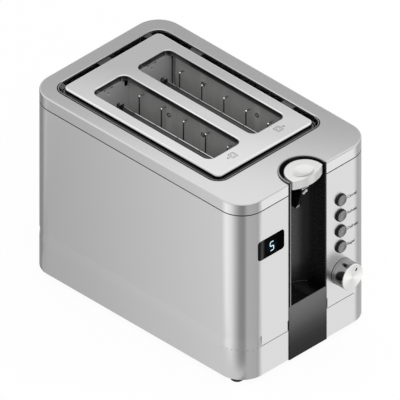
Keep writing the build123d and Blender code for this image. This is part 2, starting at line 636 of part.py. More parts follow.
def rack(side):
    """One bread lift: a channel strip with crumb holes, an arm to the carriage and two guide ears."""
    x = side * SLOT_PITCH / 2
    y0, y1 = CAVITY_FRONT_Y + RACK_END_GAP, CAVITY_BACK_Y - RACK_END_GAP
    strip = block(x - RACK_HALF_WIDTH, x + RACK_HALF_WIDTH, y0, y1, RACK_BOTTOM_Z, RACK_Z)
    for edge in (-1, 1):
        outer = x + edge * RACK_HALF_WIDTH
        ear = outer - edge * EAR_INSET
        strip += block(outer - edge * RACK_SHEET, outer, y0, y1, RACK_BOTTOM_Z, RACK_TOP_Z)
        strip += block(ear - edge * RACK_SHEET, ear, y1 - EAR_ROOT, CAVITY_BACK_Y + SHEET + EAR_REACH, RACK_BOTTOM_Z, RACK_TOP_Z)
    arm = RACK_ARM_HALF_WIDTH
    strip += block(x - arm, x + arm, CARRIAGE_BACK_Y, y0 + RACK_SHEET, RACK_BOTTOM_Z, RACK_Z)
    strip += block(x - arm, x + arm, CARRIAGE_BACK_Y, CARRIAGE_BACK_Y + RACK_SHEET, RACK_BOTTOM_Z - RACK_ARM_DROP, RACK_Z)
    holes = Sketch()
    pitch = (y1 - y0) / RACK_HOLES
    for i in range(RACK_HOLES):
        holes += Pos(x, CAVITY_Y + (i - (RACK_HOLES - 1) / 2) * pitch) * SlotOverall(RACK_HOLE_LENGTH, RACK_HOLE_WIDTH, rotation=90)
    return strip - slab(holes, RACK_BOTTOM_Z - 1, RACK_Z + 1)


def lift_spring():
    height = BRACKET_Z - SPRING_HOOK_Z - 2 * SPRING_WIRE_RADIUS
    path = Helix(pitch=height / SPRING_TURNS, height=height, radius=SPRING_RADIUS)
    start = path @ 0
    wire = Plane(origin=start, z_dir=path % 0) * RegularPolygon(SPRING_WIRE_RADIUS, 6)
    coil = sweep(wire, path=path)
    return Pos(0, SPRING_Y, SPRING_HOOK_Z + SPRING_WIRE_RADIUS) * coil


def guide_rods():
    rods = [rod_z(side * GUIDE_ROD_PITCH / 2, GUIDE_Y, GUIDE_ROD_RADIUS, PAN_FLOOR_Z, BRACKET_Z + SHEET) for side in (-1, 1)]
    return Compound(children=rods)


def top_bracket():
    """The shelf on the front end plate that holds the guide rods and the lift spring."""
    half = GUIDE_ROD_PITCH / 2 + BRACKET_MARGIN
    wall = CAVITY_FRONT_Y - SHEET
    top = BRACKET_Z + BRACKET_SHEET
    shelf = block(-half, half, GUIDE_Y - BRACKET_MARGIN, wall, BRACKET_Z, top)
    shelf += block(-half, half, wall - BRACKET_SHEET, wall, BRACKET_Z - BRACKET_FLANGE, top)
    for side in (-1, 1):
        shelf -= rod_z(side * GUIDE_ROD_PITCH / 2, GUIDE_Y, GUIDE_ROD_RADIUS + RUNNING_FIT, BRACKET_Z - 1, top + 1)
    return shelf


def latch_magnet():
    """The coil block of the latch, with its square pole piece."""
    low = MAGNET_TOP_Z - MAGNET_HEIGHT
    half, reach = MAGNET_WIDTH / 2, MAGNET_DEPTH / 2
    coil = block(-half, half, MAGNET_Y - reach, MAGNET_Y + reach, low, MAGNET_TOP_Z - POLE_PROUD)
    coil = fillet(coil.edges().filter_by(Axis.Z), KEEPER_INSET)
    pole = block(-POLE_WIDTH / 2, POLE_WIDTH / 2, MAGNET_Y - POLE_DEPTH / 2, MAGNET_Y + POLE_DEPTH / 2, low + 1, MAGNET_TOP_Z)
    return coil + pole


# Toast cage

def guard_x(side, edge):
    """Where the guard of slot side (-1 or 1) stands, on the slot's left (-1) or right (1)."""
    offset = GUARD_OUTER_OFFSET if edge == side else GUARD_INNER_OFFSET
    return side * SLOT_PITCH / 2 + edge * offset


def end_plate(at_front):
    """One end wall of the toast cage, with flanges, guard pivots, rack slots and guard keyholes."""
    outward = -1 if at_front else 1
    face = CAVITY_FRONT_Y if at_front else CAVITY_BACK_Y
    far = face + outward * SHEET
    flange = face + outward * END_FLANGE
    half = END_PLATE_HALF_WIDTH
    top = TROUGH_Z - SHEET
    plate = block(-half, half, face, far, END_PLATE_BOTTOM_Z, top)
    plate += block(-half, half, face, flange, top - SHEET, top)
    for side in (-1, 1):
        inner = side * (TRAY_HALF_WIDTH + RAIL_WIDTH)
        plate += block(inner, side * half, face, flange, END_PLATE_BOTTOM_Z, END_PLATE_BOTTOM_Z + SHEET)
    slot_low = RACK_BOTTOM_Z - LEVER_TRAVEL - 2 * RACK_SLOT_CLEARANCE
    slot_high = RACK_TOP_Z + RACK_SLOT_CLEARANCE
    for side in (-1, 1):
        x = side * SLOT_PITCH / 2
        if at_front:
            wide = RACK_ARM_HALF_WIDTH + RACK_SLOT_CLEARANCE
            plate -= block(x - wide, x + wide, face - 3, face + 3, slot_low, slot_high)
        for edge in (-1, 1):
            pivot = guard_x(side, edge)
            plate -= rod_y(pivot, GUARD_PIVOT_Z, GUARD_ROD_RADIUS + RUNNING_FIT, face - 3, face + 3)
            if not at_front:
                near = x + edge * (RACK_HALF_WIDTH - EAR_INSET - RACK_SHEET - RACK_SLOT_CLEARANCE)
                away = x + edge * (RACK_HALF_WIDTH - EAR_INSET + 2 * RACK_SLOT_CLEARANCE)
                plate -= block(near, away, face - 3, face + 3, slot_low, slot_high)
        key = x - side * KEYHOLE_OFFSET
        key_top = top - SHEET - KEYHOLE_DROP
        wide = KEYHOLE_WIDTH / 2
        plate -= block(key - wide, key + wide, face - 3, face + 3, key_top - KEYHOLE_LENGTH, key_top)
    for x, y in post_places():
        plate -= rod_z(x, y, SCREW_RADIUS + FIT, END_PLATE_BOTTOM_Z - 1, END_PLATE_BOTTOM_Z + SHEET + 1)
    return plate


def card_x(index):
    """The middle of heater card 0, 1 or 2, from left to right."""
    return (index - 1) * SLOT_PITCH


def card_ends(index):
    """The front and back ends of a heater card. The outer cards stop short of the rear end plate."""
    rear = CARD_END_GAP if index == 1 else CARD_REAR_GAP
    return CAVITY_FRONT_Y + CARD_END_GAP, CAVITY_BACK_Y - rear


def heater_card(index):
    x = card_x(index)
    half = CARD_THICKNESS / 2
    y0, y1 = card_ends(index)
    card = block(x - half, x + half, y0, y1, CARD_BOTTOM_Z, CARD_TOP_Z)
    low = WINDING_BOTTOM_Z - WINDING_PITCH / 2
    high = low + WINDING_TURNS * WINDING_PITCH
    for near, far in ((y0, y0 + CARD_WAIST), (y1 - CARD_WAIST, y1)):
        card -= block(x - CARD_THICKNESS, x + CARD_THICKNESS, near, far, low, high)
    return card


def heater_winding(index):
    """The flat resistance ribbon round a card, one loop at each height."""
    x = card_x(index)
    inner = CARD_THICKNESS / 2
    outer = inner + RIBBON_THICKNESS
    start, end = card_ends(index)
    y0, y1 = start + CARD_WAIST, end - CARD_WAIST
    loops = []
    for i in range(WINDING_TURNS):
        z = WINDING_BOTTOM_Z + i * WINDING_PITCH
        loop = block(x - outer, x + outer, y0 - RIBBON_THICKNESS, y1 + RIBBON_THICKNESS, z, z + RIBBON_WIDTH)
        loops.append(loop - block(x - inner, x + inner, y0, y1, z - 1, z + RIBBON_WIDTH + 1))
    return Compound(children=loops)


def heat_shield(side):
    x = side * (SLOT_PITCH + SHIELD_GAP)
    y0, y1 = CAVITY_FRONT_Y + CARD_END_GAP, CAVITY_BACK_Y - CARD_END_GAP
    low, high = END_PLATE_BOTTOM_Z + SHIELD_MARGIN, TROUGH_Z - SHEET - SHIELD_MARGIN / 2
    return block(x, x + side * SHIELD_THICKNESS, y0, y1, low, high)


def guard(side, edge):
    """One row of bread guard wires. It pivots on its bottom rod in the end plates."""
    x = guard_x(side, edge)
    reach = SHEET + GUARD_ROD_REACH
    row = rod_y(x, GUARD_PIVOT_Z, GUARD_ROD_RADIUS, CAVITY_FRONT_Y - reach, CAVITY_BACK_Y + reach)
    for i in range(GUARD_WIRES):
        y = CAVITY_Y + (i - (GUARD_WIRES - 1) / 2) * GUARD_WIRE_PITCH
        tip = x + edge * GUARD_LEG
        line = FilletPolyline((x, y, GUARD_PIVOT_Z), (x, y, GUARD_TOP_Z), (tip, y, GUARD_TOP_Z), radius=GUARD_BEND)
        section = Plane(origin=(x, y, GUARD_PIVOT_Z), z_dir=(0, 0, 1)) * Circle(GUARD_WIRE_RADIUS)
        row += sweep(section, path=line)
    return row


# Controls

def button(index):
    """One push button: its cap, the flange that keeps it in the front wall, and its stem."""
    z = button_heights()[index]
    face_y = FRONT_Y - BUTTON_PROUD
    seat = FRONT_Y + 2 * SHEET + FIT
    flange_end = seat + BUTTON_FLANGE_THICKNESS
    cap = rod_y(BUTTON_X, z, BUTTON_RADIUS, face_y, flange_end)
    cap = chamfer([e for e in cap.edges() if abs(e.center().Y - face_y) < 1e-4], BUTTON_EDGE)
    cap += rod_y(BUTTON_X, z, BUTTON_RADIUS + BUTTON_FLANGE, seat, flange_end)
    return cap + rod_y(BUTTON_X, z, BUTTON_STEM_RADIUS, seat, FRONT_Y + BUTTON_STEM_REACH)


def button_carrier():
    """The guide strip behind the front wall. Its posts hold the control board."""
    heights = button_heights()
    low, high = heights[-1] - CARRIER_MARGIN_LOW, heights[0] + CARRIER_MARGIN_HIGH
    x0, x1 = BUTTON_X - CARRIER_HALF_WIDTH, BUTTON_X + CARRIER_HALF_WIDTH
    y0 = FRONT_Y + CARRIER_DEPTH
    y1 = y0 + CARRIER_THICKNESS
    strip = block(x0, x1, y0, y1, low, high)
    for z in heights:
        strip -= rod_y(BUTTON_X, z, BUTTON_STEM_RADIUS + FIT, y0 - 1, y1 + 1)
    inset = CARRIER_POST_INSET
    for x in (x0 + inset, x1 - inset):
        for z in (low + inset, high - inset):
            strip += rod_y(x, z, CARRIER_POST_RADIUS, FRONT_Y + SHEET, CONTROL_BOARD_Y)
    return strip


def control_board():
    top = button_heights()[0] + CONTROL_BOARD_MARGIN
    x0, x1 = BUTTON_X - CONTROL_BOARD_LEFT, BUTTON_X + CONTROL_BOARD_RIGHT
    return block(x0, x1, CONTROL_BOARD_Y, CONTROL_BOARD_Y + BOARD, KNOB_Z - CONTROL_BOARD_MARGIN, top)


def touch_switches():
    """One tact switch behind each button, clear of its stem by more than the button's travel."""
    half = SWITCH_SIZE / 2
    tip = FRONT_Y + BUTTON_STEM_REACH + BUTTON_TRAVEL + SLIDE_FIT
    switches = []
    for z in button_heights():
        body = block(BUTTON_X - half, BUTTON_X + half, CONTROL_BOARD_Y - SWITCH_DEPTH, CONTROL_BOARD_Y, z - half, z + half)
        switches.append(body + rod_y(BUTTON_X, z, BUTTON_STEM_RADIUS, tip, CONTROL_BOARD_Y - SWITCH_DEPTH / 2))
    return Compound(children=switches)


def encoder():
    """The rotary encoder on the control board, with its bushing through the front wall."""
    half = ENCODER_SIZE / 2
    bush = FRONT_Y - ENCODER_BUSH_REACH
    body = block(KNOB_X - half, KNOB_X + half, FRONT_Y + SHEET, CONTROL_BOARD_Y, KNOB_Z - half, KNOB_Z + half)
    body += rod_y(KNOB_X, KNOB_Z, ENCODER_BUSH_RADIUS, bush, FRONT_Y + 2 * SHEET)
    return body - rod_y(KNOB_X, KNOB_Z, SHAFT_RADIUS + RUNNING_FIT, bush - 1, FRONT_Y + ENCODER_BORE_DEPTH)


def encoder_nut():
    hexagon = Pos(KNOB_X, FRONT_Y - NUT_THICKNESS, KNOB_Z) * Rot(-90, 0, 0) * RegularPolygon(NUT_RADIUS, 6)
    nut = extrude(hexagon, NUT_THICKNESS)
    return nut - rod_y(KNOB_X, KNOB_Z, ENCODER_BUSH_RADIUS + RUNNING_FIT, FRONT_Y - 2 * NUT_THICKNESS, FRONT_Y + 1)


def encoder_shaft():
    start = FRONT_Y - KNOB_REACH + KNOB_CAP_THICKNESS + SHAFT_SEAT
    return rod_y(KNOB_X, KNOB_Z, SHAFT_RADIUS, start, FRONT_Y + ENCODER_BORE_DEPTH - 2 * FIT)


def knob():
    base = FRONT_Y - KNOB_STANDOFF
    cap = FRONT_Y - KNOB_REACH + KNOB_CAP_THICKNESS
    body = rod_y(KNOB_X, KNOB_Z, KNOB_RADIUS, cap, base)
    body += rod_y(KNOB_X, KNOB_Z, KNOB_SKIRT_RADIUS, base - KNOB_SKIRT_LENGTH, base)
    body -= rod_y(KNOB_X, KNOB_Z, KNOB_HOLLOW_RADIUS, base - KNOB_HOLLOW_DEPTH, base + 1)
    return body - rod_y(KNOB_X, KNOB_Z, SHAFT_RADIUS + RUNNING_FIT / 2, cap + SHAFT_SEAT - FIT, base)


def knob_cap():
    """The turned metal face of the knob, with the small index dimple."""
    face = FRONT_Y - KNOB_REACH
    disc = rod_y(KNOB_X, KNOB_Z, KNOB_RADIUS, face, face + KNOB_CAP_THICKNESS)
    disc = chamfer([e for e in disc.edges() if abs(e.center().Y - face) < 1e-4], 0.4)
    dimple = SlotOverall(2.8, 2 * MARK_RADIUS, rotation=90)
    plane = Pos(KNOB_X, face - 1, KNOB_Z) * Rot(0, 35, 0) * Pos(0, 0, MARK_OFFSET) * Rot(-90, 0, 0)
    return disc - extrude(plane * dimple, 1.7)


def window_board():
    low, high = WINDOW_BOTTOM_Z - WINDOW_BOARD_MARGIN, WINDOW_TOP_Z + WINDOW_BOARD_MARGIN
    return block(WINDOW_LEFT_X, WINDOW_RIGHT_X, WINDOW_BOARD_Y, WINDOW_BOARD_Y + BOARD, low, high)


def digit_module():
    back_of_lens = FRONT_Y + WINDOW_THICKNESS - WINDOW_PROUD
    x0, x1 = WINDOW_LEFT_X + DIGIT_INSET_X, WINDOW_RIGHT_X - DIGIT_INSET_X
    return block(x0, x1, back_of_lens + FIT, WINDOW_BOARD_Y, WINDOW_BOTTOM_Z + DIGIT_INSET_Z, WINDOW_TOP_Z - DIGIT_INSET_Z)


# Base, tray and feet

def base_pan():
    """The moulded pan that closes the underside, with posts, rails, rod bosses and vents."""
    pan = slab(body_outline(PAN_INSET), PAN_BOTTOM_Z, PAN_TOP_Z)
    pan -= slab(body_outline(PAN_INSET + PAN_WALL), PAN_FLOOR_Z, PAN_TOP_Z + 1)
    pan -= tray_opening(SLIDE_FIT)
    root = PAN_FLOOR_Z - PAN_FLOOR / 2
    boss_top = PAN_FLOOR_Z + ROD_BOSS_HEIGHT
    for side in (-1, 1):
        inner = side * (TRAY_HALF_WIDTH + SLIDE_FIT)
        back = BACK_Y - PAN_INSET - PAN_WALL
        pan += block(inner, inner + side * RAIL_WIDTH, TRAY_FRONT_Y - TRAY_SETBACK, back, root, PAN_FLOOR_Z + RAIL_HEIGHT)
        pan += rod_z(side * GUIDE_ROD_PITCH / 2, GUIDE_Y, GUIDE_ROD_RADIUS + ROD_BOSS_WALL, root, boss_top)
    for side in (-1, 1):
        pan -= rod_z(side * GUIDE_ROD_PITCH / 2, GUIDE_Y, GUIDE_ROD_RADIUS + RUNNING_FIT, PAN_FLOOR_Z, boss_top + 1)
    half, reach = MAGNET_WIDTH / 2, MAGNET_DEPTH / 2
    pan += block(-half, half, MAGNET_Y - reach, MAGNET_Y + reach, root, MAGNET_TOP_Z - MAGNET_HEIGHT)
    post = POST_SIZE / 2
    for x, y in post_places():
        pan += block(x - post, x + post, y - post, y + post, root, END_PLATE_BOTTOM_Z)
    for x, y in post_places():
        pan -= rod_z(x, y, SCREW_RADIUS + FIT, PAN_BOTTOM_Z - 1, END_PLATE_BOTTOM_Z + 1)
        pan -= rod_z(x, y, SCREW_HEAD_RADIUS + FIT, PAN_BOTTOM_Z - 1, PAN_BOTTOM_Z + SCREW_HEAD + FIT)
    vents = Sketch()
    for i in range(PAN_VENTS):
        for side in (-1, 1):
            y = FRONT_Y + PAN_VENT_START + i * PAN_VENT_PITCH
            vents += Pos(side * PAN_VENT_X, y) * SlotOverall(PAN_VENT_LENGTH, PAN_VENT_WIDTH)
    return pan - slab(vents, PAN_BOTTOM_Z - 1, PAN_FLOOR_Z + 1)


def feet():
    pads = []
    for x, y in foot_places():
        pad = rod_z(x, y, FOOT_RADIUS, 0, PAN_BOTTOM_Z)
        pads.append(chamfer(edges_at(pad, 0), 0.6))
    return Compound(children=pads)


def base_screws():
    screws = []
    for x, y in post_places():
        head = rod_z(x, y, SCREW_HEAD_RADIUS, PAN_BOTTOM_Z, PAN_BOTTOM_Z + SCREW_HEAD)
        screws.append(head + rod_z(x, y, SCREW_RADIUS, PAN_BOTTOM_Z + SCREW_HEAD / 2, END_PLATE_BOTTOM_Z + SHEET + SCREW_REACH))
    return Compound(children=screws)


def crumb_tray():
    half = TRAY_HALF_WIDTH
    inner = half - TRAY_SHEET
    tray = block(-half, half, TRAY_FRONT_Y, TRAY_BACK_Y, TRAY_Z, TRAY_Z + TRAY_HEIGHT)
    return tray - block(-inner, inner, TRAY_FRONT_Y + TRAY_SHEET, TRAY_BACK_Y - TRAY_SHEET, TRAY_Z + TRAY_SHEET, TRAY_Z + TRAY_HEIGHT + 1)


def tray_pull():
    """The face of the crumb tray, flush in the base band, with its finger pull."""
    half = TRAY_HALF_WIDTH + TRAY_FACE_OVERLAP - SLIDE_FIT
    face = block(-half, half, TRAY_BACK_Y, BACK_Y, TRAY_Z, TRAY_Z + TRAY_FACE_HEIGHT - SLIDE_FIT)
    low = TRAY_Z + TRAY_FACE_HEIGHT / 2 + PULL_RISE - PULL_THICKNESS / 2
    wide = PULL_WIDTH / 2
    pull = block(-wide, wide, BACK_Y - TRAY_FACE_THICKNESS / 2, BACK_Y + PULL_REACH, low, low + PULL_THICKNESS)
    ends = [e for e in pull.edges().filter_by(Axis.Z) if e.center().Y > BACK_Y]
    return face + fillet(ends, PULL_CORNER_RADIUS)


def power_board():
    """The power board on its four posts, beside the carriage."""
    x0, x1 = POWER_X, POWER_X + POWER_WIDTH
    y0, y1 = FRONT_Y + POWER_FRONT_GAP, CAVITY_FRONT_Y - POWER_BACK_GAP
    board = block(x0, x1, y0, y1, POWER_Z, POWER_Z + BOARD)
    inset = 2 * POWER_POST_RADIUS
    for x in (x0 + inset, x1 - inset):
        for y in (y0 + POWER_FRONT_GAP, y1 - inset):
            board += rod_z(x, y, POWER_POST_RADIUS, PAN_FLOOR_Z, POWER_Z + BOARD / 2)
    return board


def power_parts():
    """Relay, capacitor and transformer on the power board."""
    z = POWER_Z + BOARD
    y = FRONT_Y + POWER_FRONT_GAP + POWER_PARTS_GAP
    x = POWER_X + POWER_PARTS_SPACE
    width, depth, height = RELAY_SIZE
    relay = block(x, x + width, y, y + depth, z, z + height)
    x += width + POWER_PARTS_SPACE
    width, depth, height = TRANSFORMER_SIZE
    transformer = block(x, x + width, y, y + depth, z, z + height)
    capacitor = rod_z(x + width / 2, y - POWER_PARTS_SPACE - CAPACITOR_RADIUS, CAPACITOR_RADIUS, z, z + CAPACITOR_HEIGHT)
    return Compound(children=[relay, transformer, capacitor])


def cord_gland():
    """The bushing in the rear panel for the supply cord, with a collar on each side of the sheet."""
    out = BACK_Y + GLAND_COLLAR
    wide = GLAND_RADIUS + GLAND_COLLAR
    bush = rod_y(GLAND_X, GLAND_Z, GLAND_RADIUS, BACK_Y - GLAND_REACH, out)
    bush += rod_y(GLAND_X, GLAND_Z, wide, BACK_Y, out)
    bush += rod_y(GLAND_X, GLAND_Z, wide, BACK_Y - SHEET - GLAND_NUT, BACK_Y - SHEET)
    return bush - rod_y(GLAND_X, GLAND_Z, GLAND_BORE_RADIUS, BACK_Y - GLAND_REACH - 1, out + 1)


NODES = {
    "top_cover": top_cover,
    "slot_plate": slot_plate,
    "recess_trough": trough,
    "body_wrap": body_wrap,
    "rear_panel": rear_panel,
    "base_band": base_band,
    "base_pan": base_pan,
    "rubber_feet": feet,
    "base_screws": base_screws,
    "channel_housing": channel_housing,
    "channel_badge": channel_badge,
    "window_lens": window_lens,
    "window_board": window_board,
    "digit_module": digit_module,
    "button_carrier": button_carrier,
    "control_board": control_board,
    "touch_switches": touch_switches,
    "encoder": encoder,
    "encoder_nut": encoder_nut,
    "front_end_plate": lambda: end_plate(True),
    "rear_end_plate": lambda: end_plate(False),
    "heater_card_left": lambda: heater_card(0),
    "heater_card_centre": lambda: heater_card(1),
    "heater_card_right": lambda: heater_card(2),
    "heater_winding_left": lambda: heater_winding(0),
    "heater_winding_centre": lambda: heater_winding(1),
    "heater_winding_right": lambda: heater_winding(2),
    "heat_shield_left": lambda: heat_shield(-1),
    "heat_shield_right": lambda: heat_shield(1),
    "top_bracket": top_bracket,
    "guide_rods": guide_rods,
    "latch_magnet": latch_magnet,
    "power_board": power_board,
    "power_parts": power_parts,
    "cord_gland": cord_gland,
    "lift_spring": lift_spring,
    "lever_head": lever_head,
    "lever_stem": lever_stem,
    "stem_pin": stem_pin,
    "lever_arm": lever_arm,
    "carriage": carriage,
    "keeper": keeper,
    "rack_left": lambda: rack(-1),
    "rack_right": lambda: rack(1),
    "guard_left_outer": lambda: guard(-1, -1),
    "guard_left_inner": lambda: guard(-1, 1),
    "guard_right_inner": lambda: guard(1, -1),
    "guard_right_outer": lambda: guard(1, 1),
    "button_1": lambda: button(0),
    "button_2": lambda: button(1),
    "button_3": lambda: button(2),
    "button_4": lambda: button(3),
    "knob": knob,
    "knob_cap": knob_cap,
    "encoder_shaft": encoder_shaft,
    "crumb_tray": crumb_tray,
    "tray_pull": tray_pull,
}

os.makedirs("parts", exist_ok=True)
for name, make in NODES.items():
    export_step(make(), f"parts/{name}.step")
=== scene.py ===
import json
import math

import bmesh
import bpy
from mathutils import Matrix, Vector


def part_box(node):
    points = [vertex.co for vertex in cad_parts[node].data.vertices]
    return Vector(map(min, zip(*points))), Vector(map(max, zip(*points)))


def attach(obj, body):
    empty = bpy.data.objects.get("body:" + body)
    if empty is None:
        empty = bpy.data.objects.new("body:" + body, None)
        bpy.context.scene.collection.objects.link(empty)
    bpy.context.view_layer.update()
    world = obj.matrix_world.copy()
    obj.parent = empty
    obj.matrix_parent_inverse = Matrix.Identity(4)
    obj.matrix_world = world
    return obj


# Looks of the two-slice toaster: finishes, printed marks, small fasteners, studio and camera.
# Metres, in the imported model's frame. Millimetre sizes are written as a number times MM.

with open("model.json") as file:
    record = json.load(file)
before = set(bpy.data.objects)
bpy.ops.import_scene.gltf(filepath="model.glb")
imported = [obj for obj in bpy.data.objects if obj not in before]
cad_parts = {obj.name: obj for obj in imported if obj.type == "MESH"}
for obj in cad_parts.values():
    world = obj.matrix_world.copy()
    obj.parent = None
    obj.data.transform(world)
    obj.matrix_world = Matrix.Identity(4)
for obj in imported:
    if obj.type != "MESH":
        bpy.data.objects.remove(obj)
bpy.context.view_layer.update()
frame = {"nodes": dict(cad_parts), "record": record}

MM = 0.001
COVER_LOW, COVER_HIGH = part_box("top_cover")
LENS_LOW, LENS_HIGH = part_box("window_lens")
CHANNEL_LOW, CHANNEL_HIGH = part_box("channel_housing")
BODY_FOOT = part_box("body_wrap")[0].z
PLATE_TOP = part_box("slot_plate")[1].z
TROUGH_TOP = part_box("recess_trough")[1].z
FRONT_Y, BACK_Y = COVER_LOW.y, COVER_HIGH.y
LEFT_X, RIGHT_X = COVER_LOW.x, COVER_HIGH.x
TOP_Z = COVER_HIGH.z
MIDDLE_Y = (FRONT_Y + BACK_Y) / 2
PRINT_LIFT = 0.02 * MM
BUTTONS = (1, 2, 3, 4)
GUARDS = ("left_outer", "left_inner", "right_inner", "right_outer")
LEFT, RIGHT = (-1.0, 0.0, 0.0), (1.0, 0.0, 0.0)
FORWARD, BACKWARD = (0.0, -1.0, 0.0), (0.0, 1.0, 0.0)
DOWN, UP = (0.0, 0.0, -1.0), (0.0, 0.0, 1.0)

# The guards' wires, which also mark where the painted highlights on the racks' edges are broken
GUARD_LOW, GUARD_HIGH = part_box("guard_left_inner")
WIRE_PITCH = 27.0 * MM
WIRES_Y = [(GUARD_LOW.y + GUARD_HIGH.y) / 2 + (i - 2) * WIRE_PITCH for i in range(5)]

# Camera: the photograph looks down its own cube diagonal, without perspective
VIEW_SCALE = 0.3458
VIEW_ASIDE = -0.3026 * MM
VIEW_UP = 78.795 * MM
VIEW_DISTANCE = 2.0

# Base colours of the steel, on the body and on the flat top. They are one steel: the flat top's darker base
# is painted shade.
STEEL_TONE = 0.75
COVER_TONE = 0.62


def linear(tone):
    """The linear light of an 8-bit display tone."""
    part = tone / 255
    return part / 12.92 if part <= 0.04045 else ((part + 0.055) / 1.055) ** 2.4


def shade(level):
    """A neutral colour."""
    return (level, level, level)


def grey(level):
    """A neutral colour with full cover."""
    return (level, level, level, 1.0)


# Node helpers

class Nodes:
    """Adds nodes to a tree and links them."""

    def __init__(self, tree):
        self.tree = tree
        self.shader = None
        tree.nodes.clear()

    def add(self, kind, **settings):
        node = self.tree.nodes.new(kind)
        for key, value in settings.items():
            setattr(node, key, value)
        return node

    def link(self, source, target):
        self.tree.links.new(source, target)

    def feed(self, socket, source):
        """Links a value to a socket of the finish's own shader."""
        self.link(source, self.shader.inputs[socket])

    def math(self, operation, first, second=None):
        node = self.add("ShaderNodeMath", operation=operation)
        for socket, value in zip(node.inputs, (first, second)):
            if value is None:
                continue
            if isinstance(value, (int, float)):
                socket.default_value = value
            else:
                self.link(value, socket)
        return node.outputs[0]

    def ramp(self, factor, stops, interpolation="LINEAR"):
        """A colour ramp of (position, grey level or colour) stops."""
        node = self.add("ShaderNodeValToRGB")
        node.color_ramp.interpolation = interpolation
        elements = node.color_ramp.elements
        while len(elements) < len(stops):
            elements.new(0.5)
        for element, (position, value) in zip(elements, stops):
            element.position = position
            element.color = grey(value) if isinstance(value, (int, float)) else (*value, 1.0)
        self.link(factor, node.inputs["Fac"])
        return node.outputs["Color"]

    def noise(self, scale, stretch=(1.0, 1.0, 1.0), detail=3.0):
        """Noise in object space, its pattern scaled per axis by stretch."""
        place = self.add("ShaderNodeTexCoord")
        mapping = self.add("ShaderNodeMapping")
        mapping.inputs["Scale"].default_value = stretch
        self.link(place.outputs["Object"], mapping.inputs["Vector"])
        node = self.add("ShaderNodeTexNoise")
        node.inputs["Scale"].default_value = scale
        node.inputs["Detail"].default_value = detail
        node.inputs["Roughness"].default_value = 0.6
        self.link(mapping.outputs["Vector"], node.inputs["Vector"])
        return node.outputs["Fac"]

    def normal(self):
        """The parts of the surface's normal along X, Y and Z."""
        geometry = self.add("ShaderNodeNewGeometry")
        split = self.add("ShaderNodeSeparateXYZ")
        self.link(geometry.outputs["Normal"], split.inputs["Vector"])
        return split.outputs

    def product(self, first, second):
        """Two colours multiplied."""
        node = self.add("ShaderNodeVectorMath", operation="MULTIPLY")
        self.link(first, node.inputs[0])
        self.link(second, node.inputs[1])
        return node.outputs["Vector"]

    def distance_along(self, direction):
        """The distance along a direction in object space."""
        place = self.add("ShaderNodeTexCoord")
        along = self.add("ShaderNodeVectorMath", operation="DOT_PRODUCT")
        along.inputs[1].default_value = direction
        self.link(place.outputs["Object"], along.inputs[0])
        return along.outputs["Value"]

    def reach(self, value, first, last):
        """A value brought to 0 at first and 1 at last."""
        node = self.add("ShaderNodeMapRange")
        node.inputs["From Min"].default_value = first
        node.inputs["From Max"].default_value = last
        self.link(value, node.inputs["Value"])
        return node.outputs["Result"]

    def light_ramp(self, value, stops):
        """A ramp of {value: level}. The levels may be over 1."""
        first, last, top = min(stops), max(stops), max(1.0, *stops.values())
        places = [((s - first) / (last - first), level / top) for s, level in stops.items()]
        levels = self.ramp(self.reach(value, first, last), places)
        scale = self.add("ShaderNodeVectorMath", operation="SCALE")
        self.link(levels, scale.inputs[0])
        scale.inputs["Scale"].default_value = top
        return scale.outputs["Vector"]

    def graded(self, direction, stops):
        """A ramp of {distance: level} along a direction in object space."""
        return self.light_ramp(self.distance_along(direction), stops)

    def bump(self, height, strength, distance=0.02 * MM):
        node = self.add("ShaderNodeBump")
        node.inputs["Strength"].default_value = strength
        node.inputs["Distance"].default_value = distance
        self.link(height, node.inputs["Height"])
        return node.outputs["Normal"]


FINISH = {}


def surface(name, **sockets):
    """Starts a finish: a new material with one Principled shader. Returns its node helper."""
    material = bpy.data.materials.new(name)
    material.use_nodes = True
    nodes = Nodes(material.node_tree)
    nodes.shader = nodes.add("ShaderNodeBsdfPrincipled")
    output = nodes.add("ShaderNodeOutputMaterial")
    nodes.link(nodes.shader.outputs["BSDF"], output.inputs["Surface"])
    for key, value in sockets.items():
        nodes.shader.inputs[key.replace("_", " ")].default_value = value
    FINISH[name] = material
    return nodes


def spread(low, high, first=0.3, last=0.7):
    """Two ramp stops, by default over the range that most of a noise texture lies in."""
    return [(first, low), (last, high)]


def mixed(colour, amount):
    """Two stops round a colour, darker and lighter by amount."""
    darker = tuple(c * (1 - amount) for c in colour)
    lighter = tuple(min(1.0, c * (1 + amount)) for c in colour)
    return spread(darker, lighter)


def placed_stops(origin, stops):
    """Stops given in millimetres from an origin, at their places in metres."""
    return {origin + place * MM: level for place, level in stops.items()}


# Kinds of finish

HAIR_STRETCH = 0.012
HAIR_SHARE = 0.6
BROAD_PART = 9
UNEVEN_LIMIT = 0.08
# The upward part of the normal on an upright face and on a flat one
UPRIGHT, LEVEL = 0.2, 0.9


